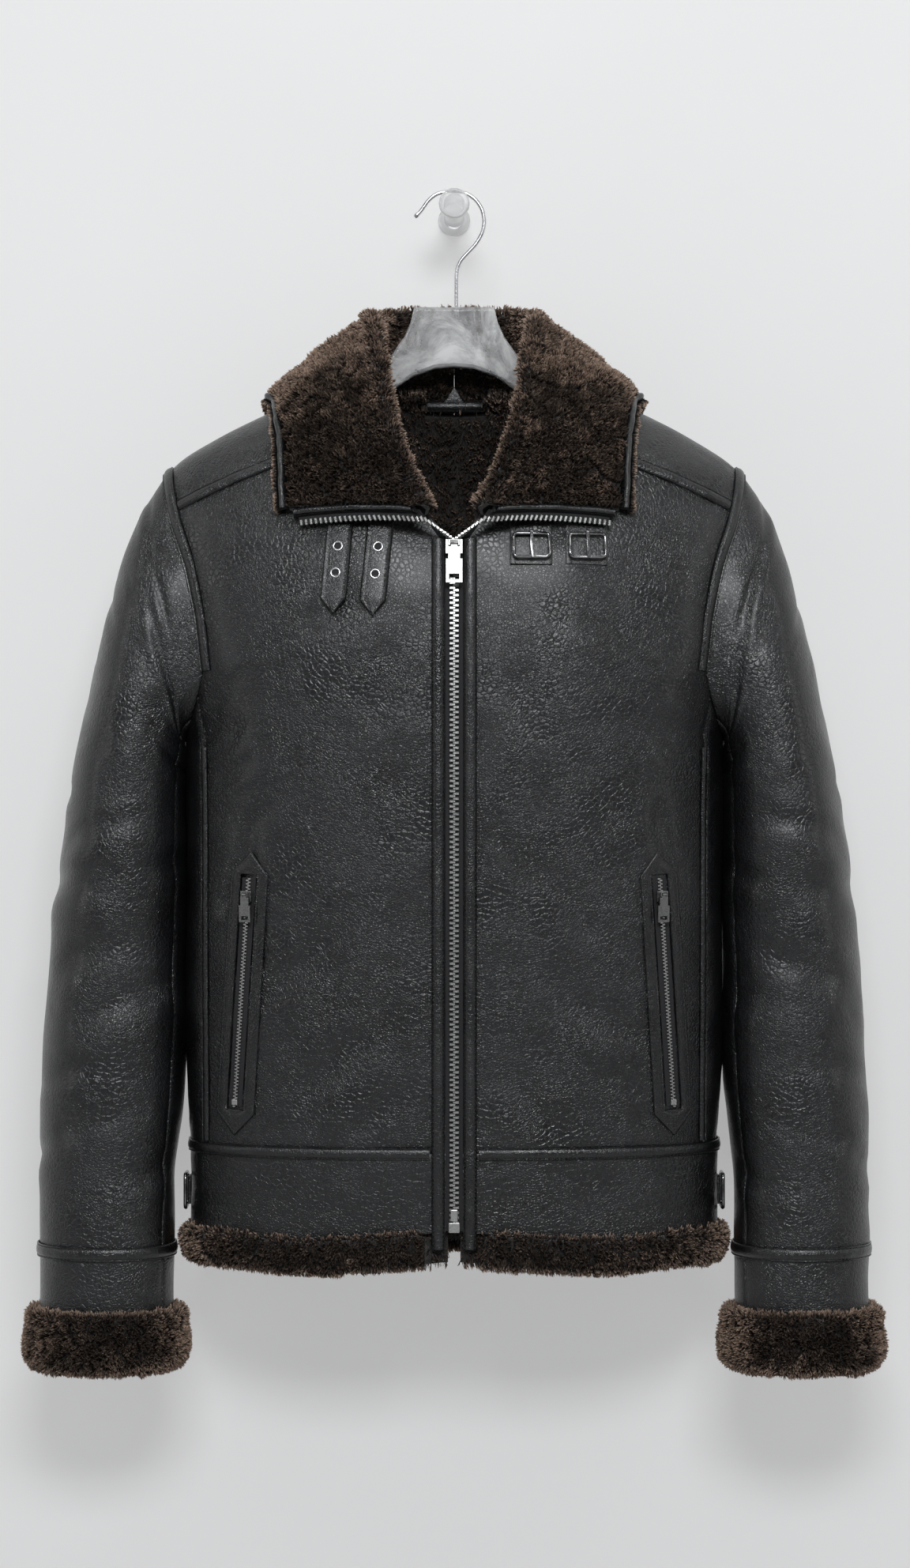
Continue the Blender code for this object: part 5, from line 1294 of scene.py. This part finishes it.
def make_hem():
    """The fur edge under the waistband; behind the plackets it keeps to the cloth's own face."""
    rings = []
    for angle, side in fine_waist(110):
        point, normal = skin(angle, band_low_z(angle, side), side)
        rings.append((point, unit(normal * np.array([1, 1, 0]))))
    rings[0] = (rings[0][0] - np.array([HEM_REACH, 0, 0]), rings[0][1])
    rings = [(flip(point, -1), flip(out, -1)) for point, out in rings] + rings[-2::-1]
    points, normals, table = ring_surface(rings, HEM_FUR, 4.2)
    thin = np.ones(len(points))
    for j, (place, out) in enumerate(rings):
        from_middle = abs(place[0])
        if from_middle < 26 and place[1] < BODY_CENTRE_Y:
            limit = -4.5 if from_middle < 17.5 else mix(-4.5, 4.0, (from_middle - 17.5) / 8.5)
            points[j] -= np.clip((points[j] - place) @ out - limit, 0, None)[:, None] * out
            points[j][:, 2] -= np.clip(points[j][:, 2] - (place[2] - 2.5), 0, None)
            thin[j] = 0.25 if from_middle < 17.5 else 1.0
    base = tube("hem_hide", points, FUR_SKIN, replaces=["hem_fur"])
    # little pile is needed where the edge faces in and up
    shown = np.concatenate([table, table[:1]])
    weight = np.where((shown[:, 0] < -8) & (shown[:, 1] > -18), 0.25, 1.0)
    pile = fur("hem_pile", ringed(points), ringed(normals), 46000, 6.4, 300, (0, 0, -0.3), 0.74, 6.0,
               thin[:, None] * weight)


def make_cuffs():
    turns = np.arange(0, 360, 4.0)
    for side_name, sign in SIDES:
        places = [sleeve_skin(12.0, turn) for turn in turns]
        level = np.array([1, 1, 0])
        rings = [(flip(point, sign), flip(unit(normal * level), sign)) for point, normal in places]
        points, normals, table = ring_surface(rings, CUFF_FUR, 4.4)
        base = tube(f"cuff_{side_name}_hide", points, FUR_SKIN, True, [f"cuff_fur_{side_name}"])
        points, normals = (np.concatenate([grid, grid[:1]]) for grid in (points, normals))
        shown = np.concatenate([table, table[:1]])
        weight = np.where((shown[:, 0] < -6) & (shown[:, 1] > -34), 0.25, 1.0)
        groove = 1 - 0.75 * np.exp(-((shown[:, 1] + 9) / 2.2) ** 2) * (shown[:, 0] > 0)
        # the turned-up band's join, on the side towards the body
        join = 1 - 0.8 * np.exp(-((np.append(turns, 360) - 205) / 3.5) ** 2)
        pile = fur(f"cuff_{side_name}_pile", ringed(points), ringed(normals), 34000, 6.6, 400 + sign,
                   (0, 0, -0.1), 0.74, 6.0, join[:, None] * (weight * groove))


def make_lining():
    """Pile on the inside of the back, where the open neck shows it, thin at the seams and the loop."""
    zs, xs = np.linspace(-136, -345, 50), np.linspace(-118, 118, 60)

    def place(j, i):
        across, sign = abs(xs[i]), 1 if xs[i] >= 0 else -1
        point, normal = skin_x(across, min(zs[j], ridge_z(across) - 8), BACK)
        return flip(point - normal * (WALL - 0.6), sign), flip(-normal, sign)
    points, normals = surface_grid(len(zs), len(xs), place)
    # the seams run down the middle, under the collar stand and across the back
    span, height = np.abs(points[..., 0]), points[..., 2]
    seams = np.minimum(np.minimum(span, np.abs(height + 146)), np.abs(height + 166 + 0.0004 * span**2))
    thin = 1 - 0.93 * np.exp(-(seams / 1.9) ** 2)
    thin *= np.where((span < LOOP_HALF + 3) & (np.abs(height + 146.5) < 9.5), 0.03, 1.0)
    fur("neck_lining_pile", points, normals, 30000, 5.2, 500, (0, 0, -0.3), width=0.8, weights=thin)


# Zips

def tooth(length, width, thick):
    """Corners and faces of one tooth, pointing along +x from its heel at 0."""
    side = [(0.0, 0.5), (0.55, 0.5), (0.72, 0.34), (0.82, 0.5), (1.0, 0.36)]
    outline = [(x * length, -y * width) for x, y in side]
    outline += [(x * length, y * width) for x, y in reversed(side)]
    n, h = len(outline), thick / 2
    middle = np.array(outline).mean(axis=0)
    verts = [(x, y, -h) for x, y in outline] + [(x, y, h * 0.72) for x, y in outline]
    verts += [(mix(x, middle[0], 0.14), mix(y, middle[1], 0.22), h) for x, y in outline]
    faces = grid_quads(3, n, wrap=True).tolist()
    faces += [list(range(2 * n, 3 * n)), list(range(n))[::-1]]
    return np.array(verts), faces


def even_frames(frames, pitch, offset):
    """Frames at even spacing along a run of frames."""
    points, across, out = zip(*frames)
    at = run_lengths(points)
    marks = np.arange(offset, at[-1], pitch)
    points, across, out = (sample(marks, at, rows) for rows in (points, across, out))
    return points, directions(across), directions(out)


def teeth(name, frames, pitch, offset, size, replaces, sign, heel, rise=0.6):
    """A row of teeth whose heads reach just past the middle line; across points from it to the heels."""
    shape, faces = tooth(*size)
    verts, all_faces = [], []
    for k, (point, across, out) in enumerate(zip(*even_frames(frames, pitch, offset))):
        axes = np.array([-across, np.cross(out, across), out])
        verts.append(point + across * heel + out * rise + shape @ axes)
        all_faces += [tuple(len(shape) * k + i for i in face) for face in faces]
    if sign > 0:
        all_faces = [face[::-1] for face in all_faces]
    add_mesh(name, flip(np.vstack(verts), sign), all_faces, [NICKEL], replaces, smooth=25)


def ribbon(name, frames, low, high, thick, rise, sign):
    """A flat tape between two distances across, along frames."""
    points, across, outs = (np.array(part)[:, None] for part in zip(*frames))
    face = points + across * np.linspace(low, high, 5)[None, :, None]
    outer, inner = flip(face + outs * (rise + thick), sign), flip(face + outs * rise, sign)
    shell(name, outer, inner, [TAPE])


def add_bevel(made, width, segments=2):
    change = made.modifiers.new("rounding", "BEVEL")
    change.width = width * MM
    change.segments = segments
    change.limit_method = "ANGLE"
    change.angle_limit = radians(28)
    change.harden_normals = True


def block_mesh(name, centre, size, axes, bevel):
    """A small nickel block with rounded edges lying on a surface."""
    across, out = axes
    frame_axes = np.array([across, -out, np.cross(across, -out)]) * np.array(size)[:, None] / 2
    corners = ((-1, -1), (1, -1), (1, 1), (-1, 1))
    verts = [centre + np.array([x, y, z]) @ frame_axes for z in (-1, 1) for x, y in corners]
    faces = [(0, 3, 2, 1), (4, 5, 6, 7), (0, 1, 5, 4), (1, 2, 6, 5), (2, 3, 7, 6), (3, 0, 4, 7)]
    add_bevel(add_mesh(name, verts, faces, [NICKEL], smooth=40), bevel)


def make_zips():
    """Tapes and teeth, the box and pin at the bottom, and each pocket's zip."""
    frames = zip_places()
    for side_name, sign in SIDES:
        offset = 1.0 if sign < 0 else 1.0 + 1.85
        ribbon(f"zip_{side_name}_tape", frames, 0.3, TAPE_HALF + 3.5, 0.7, -1.0, sign)
        teeth(f"zip_{side_name}_teeth", frames, 3.7, offset, (4.4, 1.9, 2.2), [f"zip_{side_name}"], sign,
              3.55)
    for name, up, lift, size, bevel in (("zip_box", 3, 0.4, (8.4, 3.2, 7.5), 0.7),
                                        ("zip_pin", 12, 0.5, (5.6, 2.6, 9.0), 0.9)):
        point, out = skin_x(0.0, ZIP_BOTTOM_Z + up, FRONT)
        block_mesh(name, point + out * lift, size, surface_axes(out), bevel)
    pocket_tooth, tape = (2.4, 1.15, 1.2), WINDOW_HALF - 0.5
    for side_name, sign in SIDES:
        run = []
        for share in np.linspace(0.012, 0.972, 40):
            point, out = pocket_place(share, 0.0)
            run.append((point, unit(np.cross(out, UP)), out))
        other = [(point, -across, out) for point, across, out in run]
        ribbon(f"pocket_tape_{side_name}", run, -tape, tape, 0.5, 0.5, sign)
        node = f"pocket_zip_{side_name}"
        for row, rails, offset, nodes in (("a", run, 1.0, [node]), ("b", other, 2.25, [])):
            teeth(f"pocket_teeth_{side_name}_{row}", rails, 2.5, offset, pocket_tooth, nodes, sign, 1.9, 1.6)
        point, out = pocket_place(0.955, 0.0)
        block_mesh(f"pocket_stop_{side_name}", flip(point + out * 1.9, sign), (5.0, 1.9, 4.2),
                   surface_axes(flip(out, sign)), 0.5)


# Pocket frames, straps, tabs and hanging loop

def make_welts():
    """The pointed frame round each pocket zip."""
    length = np.hypot(POCKET_BOTTOM[0] - POCKET_TOP[0], POCKET_BOTTOM[1] - POCKET_TOP[1])
    point_share = WELT_POINT / round(length)
    shares = np.linspace(0, 1, WELT_RUNS + 1)

    def loop(half, top, bottom, reach):
        right = [(s * reach, half) for s in shares]
        rows = [(top, 0.0)] + right + [(bottom, 0.0)] + [(s, -half) for s, _ in reversed(right)]
        steps = np.linspace(0, len(rows), len(rows) * 10 + 1)[:-1]
        return sample(steps, np.arange(len(rows) + 1), rows + rows[:1])
    outline, window = loop(WELT_HALF, -point_share, 1 + point_share, 1), loop(WINDOW_HALF, 0, 0.985, 0.985)
    points, outs = surface_grid(len(WELT_LEVELS), len(outline), lambda j, i: pocket_place(
        *mix(outline[i], window[i], WELT_LEVELS[j][0])))
    points = points + outs * (LIFT + np.array(WELT_LEVELS)[:, 1])[:, None, None]
    for side_name, sign in SIDES:
        rings, ways = flip(points, sign), flip(outs, sign)
        node = f"pocket_welt_{side_name}"
        made = tube(f"{node}_sewn", rings, TRIM, True, [node], 70)
        for level in (3, 7):
            stitches(rings[level], ways[level], 3.0, closed=True)


def pad(name, places, half, thick, lift, sign, replaces):
    """A flat leather piece with a raised stitched rim, along places of (point, out, width share, lift)."""
    points, outs, width, lifts = (np.array(part) for part in zip(*places))
    across = directions(np.cross(outs, np.gradient(points, axis=0)))
    flat = points[:, None] + across[:, None] * (PAD_COLUMNS[None, :, None] * half * width[:, None, None])
    base = (lifts + lift)[:, None, None] * outs[:, None]
    outer = flip(flat + base + PAD_RISE[None, :, None] * thick * outs[:, None], sign)
    inner = flip(flat + base - outs[:, None] * 0.05, sign)
    shell(name, outer, inner, [TRIM], replaces)
    for column in (3, 9):
        stitches(outer[:, column], flip(outs, sign), 2.8)


def eyelet(name, centre, out):
    """A ring of metal round a dark hole."""
    across, out = surface_axes(out)
    up = np.cross(across, -out)
    ways = circle(np.zeros(3), across, up, 1.0, 28)
    ring = np.array([circle(centre + way * 3.2, way * 0.75, out * 0.55, 1.0, 8) for way in ways])
    tube(name, ring, STEEL, True)
    count = 20
    verts = []
    for depth in (0.25, 0.6):
        low = centre - out * depth
        verts += [low, *circle(low, across, up, 2.7, count)]
    faces = []
    for i in range(count):
        here, beside, below = 1 + i, 1 + (i + 1) % count, count + 1
        faces += [(0, here, beside), (below, below + beside, below + here),
                  (here, below + here, below + beside, beside)]
    add_mesh(name + "_hole", verts, faces, [TAPE])


def make_small_leather():
    """Collar straps with their eyelets, buckle tabs, side straps and the hanging loop."""
    for name, top_x, low_x, top_z, low_z, _ in STRAPS:
        def place(share):
            return skin_x(mix(top_x, low_x, min(share, 1.0)), mix(top_z, low_z, share), FRONT)
        places = []
        for share in np.concatenate([np.linspace(0, 1, 34), [1.05, 1.1, 1.15, 1.19]]):
            narrow = 1.0 if share <= 1 else max(1 - (share - 1) / 0.2, 0.06)
            places.append((*place(share), narrow, 0.4 + 1.2 * min(share, 1) ** 2))
        pad(f"collar_strap_{name}_sewn", places, STRAP_HALF, 2.2, LIFT, -1, [f"collar_strap_{name}"])
        for index, share in enumerate(EYELET_SHARES):
            point, out = place(share)
            centre = flip(point + out * (LIFT + 0.4 + 1.2 * share**2 + 2.2), -1)
            eyelet(f"eyelet_{name}_{index}", centre, flip(out, -1))
    for name, x in BUCKLES:
        places = [(*skin_x(x, z, FRONT), 1.0, 0.0) for z in np.linspace(TAB_ROWS[0], TAB_ROWS[-1], 18)]
        pad(f"buckle_tab_{name}_sewn", places, TAB_HALF, TAB_THICK, LIFT, 1, [f"buckle_tab_{name}"])
    for side_name, sign in SIDES:
        places = [skin(angle, ADJUSTER_Z, BACK) for angle in np.linspace(38, 84, 30)]
        places = [(*place, 1.0, 0.0) for place in places + [skin(90, ADJUSTER_Z, FRONT)]]
        node = f"side_strap_{side_name}"
        pad(f"{node}_sewn", places, 11, ADJUSTER_THICK, LIFT, sign, [node])
    forwards = np.array([0, -1.0, 0])
    frames = [(np.array([x, -62.0 + 2.3 * (x / LOOP_HALF) ** 2, -151.5]), UP, forwards)
              for x in np.linspace(-LOOP_HALF, LOOP_HALF, 30)]
    strip("neck_loop", frames, 9, 2.2, -1.0, 12)
    places = [(np.array([0.0, -61.2, z]), forwards, share, 0.0)
              for z, share in ((-149.5, 1.0), (-146, 0.74), (-142.5, 0.46), (-139.5, 0.22), (-138, 0.08))]
    pad("neck_loop_tab", places, 9.5, 1.6, 0.2, 1, [])


# Hardware and hanger

def polish(name, material, width, segments=2, smooth=32):
    """A hard piece from its solid, with rounded edges, on its own body where it moves."""
    source = frame["nodes"][name]
    mesh = source.data.copy()
    mesh.materials.clear()
    mesh.materials.append(material)
    work = bmesh.new()
    work.from_mesh(mesh)
    bmesh.ops.remove_doubles(work, verts=work.verts, dist=1e-6)
    bmesh.ops.dissolve_limit(work, angle_limit=radians(1.0), verts=work.verts, edges=work.edges)
    work.to_mesh(mesh)
    work.free()
    mesh.shade_smooth()
    mesh.set_sharp_from_angle(angle=radians(smooth))
    made = bpy.data.objects.new(f"{name}_finished", mesh)
    made.matrix_world = source.matrix_world.copy()
    bpy.context.scene.collection.objects.link(made)
    if width:
        add_bevel(made, width, segments)
    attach(made, name if name in frame["bodies"] else ROOT)
    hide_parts(name)


def make_hook():
    """The steel hook, drawn finer, and its ferrule."""
    table = np.array(HOOK)
    at = run_lengths(table)
    line = smoothed(sample(np.linspace(0, at[-1], 120), at, table), 6)
    points = np.insert(line, 1, HANGER_Y, axis=1)
    backwards = np.array([0, 1.0, 0])
    rings, last = [], len(points) - 1
    for i, point in enumerate(points):
        ahead = unit(points[min(i + 1, last)] - points[max(i - 1, 0)])
        radius = HOOK_RADIUS * (1.18 if i < 3 else 1.0) * (0.75 if i in (0, last) else 1.0)
        rings.append(circle(point, unit(np.cross(ahead, backwards)), backwards, radius, 14))
    tube("hanger_hook_finished", np.array(rings), STEEL, replaces=["hanger_hook"])
    right = np.array([1.0, 0, 0])
    rings = [circle(np.array([HOOK[-1][0], HANGER_Y, z]), right, backwards, radius, 18)
             for z, radius in ((-91.4, 1.9), (-91.4, 3.1), (-92.8, 3.3), (-93.6, 2.6), (-93.6, 0.2))]
    tube("hanger_ferrule", np.array(rings), STEEL)


def make_hardware():
    for part in ("slider", "pull"):
        polish(f"zip_{part}", AGED, 0.42)
        for side_name, _ in SIDES:
            polish(f"pocket_{part}_{side_name}", AGED, 0.3)
    for name in ("buckle_frame_inner", "buckle_frame_outer", "side_buckle_left", "side_buckle_right"):
        polish(name, DARK_METAL, 0.0, smooth=70)
    for name in ("buckle_prong_inner", "buckle_prong_outer"):
        polish(name, DARK_METAL, 0.25, smooth=70)
    polish("hanger_body", ACRYLIC, 1.1, segments=3)
    polish("wall_peg", FROSTED, 0.5)
    make_hook()


# Room, light and camera

def area_light(name, place, target, size, power, colour=(1, 1, 1)):
    light = bpy.data.lights.new(name, "AREA")
    light.shape = "RECTANGLE"
    light.size, light.size_y = size
    light.energy = power
    light.color = colour
    made = bpy.data.objects.new(name, light)
    made.location = place
    made.rotation_mode = "QUATERNION"
    made.rotation_quaternion = (Vector(target) - made.location).to_track_quat("-Z", "Y")
    bpy.context.scene.collection.objects.link(made)


def make_room():
    wall_y, floor_z = 0.0006, -1.35
    wall = [(-5, wall_y, floor_z), (5, wall_y, floor_z), (5, wall_y, 4), (-5, wall_y, 4)]
    floor = [(-5, -6, floor_z), (5, -6, floor_z), (5, 5, floor_z), (-5, 5, floor_z)]
    for name, corners, paint in (
            ("wall", wall, backdrop_material("pale_wall", grey(0.41), grey(0.43), 0.36, True)),
            ("floor", floor, backdrop_material("pale_floor", grey(0.50), grey(0.52), 0.03, False))):
        mesh = bpy.data.meshes.new(name)
        mesh.from_pydata(corners, [], [(0, 1, 2, 3)])
        mesh.materials.append(paint)
        made = bpy.data.objects.new(name, mesh)
        bpy.context.scene.collection.objects.link(made)
    world = bpy.data.worlds.new("soft_room")
    world.use_nodes = True
    world.node_tree.nodes["Background"].inputs[0].default_value = (0.93, 0.95, 1.0, 1)
    world.node_tree.nodes["Background"].inputs[1].default_value = 0.16
    bpy.context.scene.world = world
    area_light("key", (0.12, -2.8, 0.98), (0.02, -0.1, -0.3), (1.2, 0.6), 57, (0.965, 0.985, 1.0))
    area_light("top", (0, -1.0, 1.5), (0, -0.15, -0.2), (2.0, 0.6), 12)
    area_light("left_box", (-2.2, -1.0, 0.2), (-0.2, -0.1, -0.5), (0.4, 1.9), 7)
    area_light("right_box", (2.2, -1.0, 0.2), (0.2, -0.1, -0.5), (0.4, 1.9), 6)
    area_light("rear_fill", (0.6, 2.6, 1.6), (0, 0, -0.4), (2.5, 2.0), 62)
    bpy.context.scene.view_settings.view_transform = "Standard"


def make_camera():
    reference_y, distance, frame_height = -0.085, 2.8, 1984 * 0.0006
    data = bpy.data.cameras.new("camera")
    data.sensor_width = 36
    data.lens = 36 / 2 / (frame_height / 2 / distance)
    made = bpy.data.objects.new("camera", data)
    made.location = (0.0006, reference_y - distance, -0.4405)
    made.rotation_euler = (pi / 2, 0, 0)
    bpy.context.scene.collection.objects.link(made)
    bpy.context.scene.camera = made


def main():
    make_panels()
    make_sides()
    make_yokes()
    make_sleeves()
    make_waistband_skin()
    make_strips()
    make_collar_fur()
    make_hem()
    make_cuffs()
    make_lining()
    make_zips()
    make_welts()
    make_small_leather()
    make_hardware()
    make_stitching()
    make_room()
    make_camera()


main()
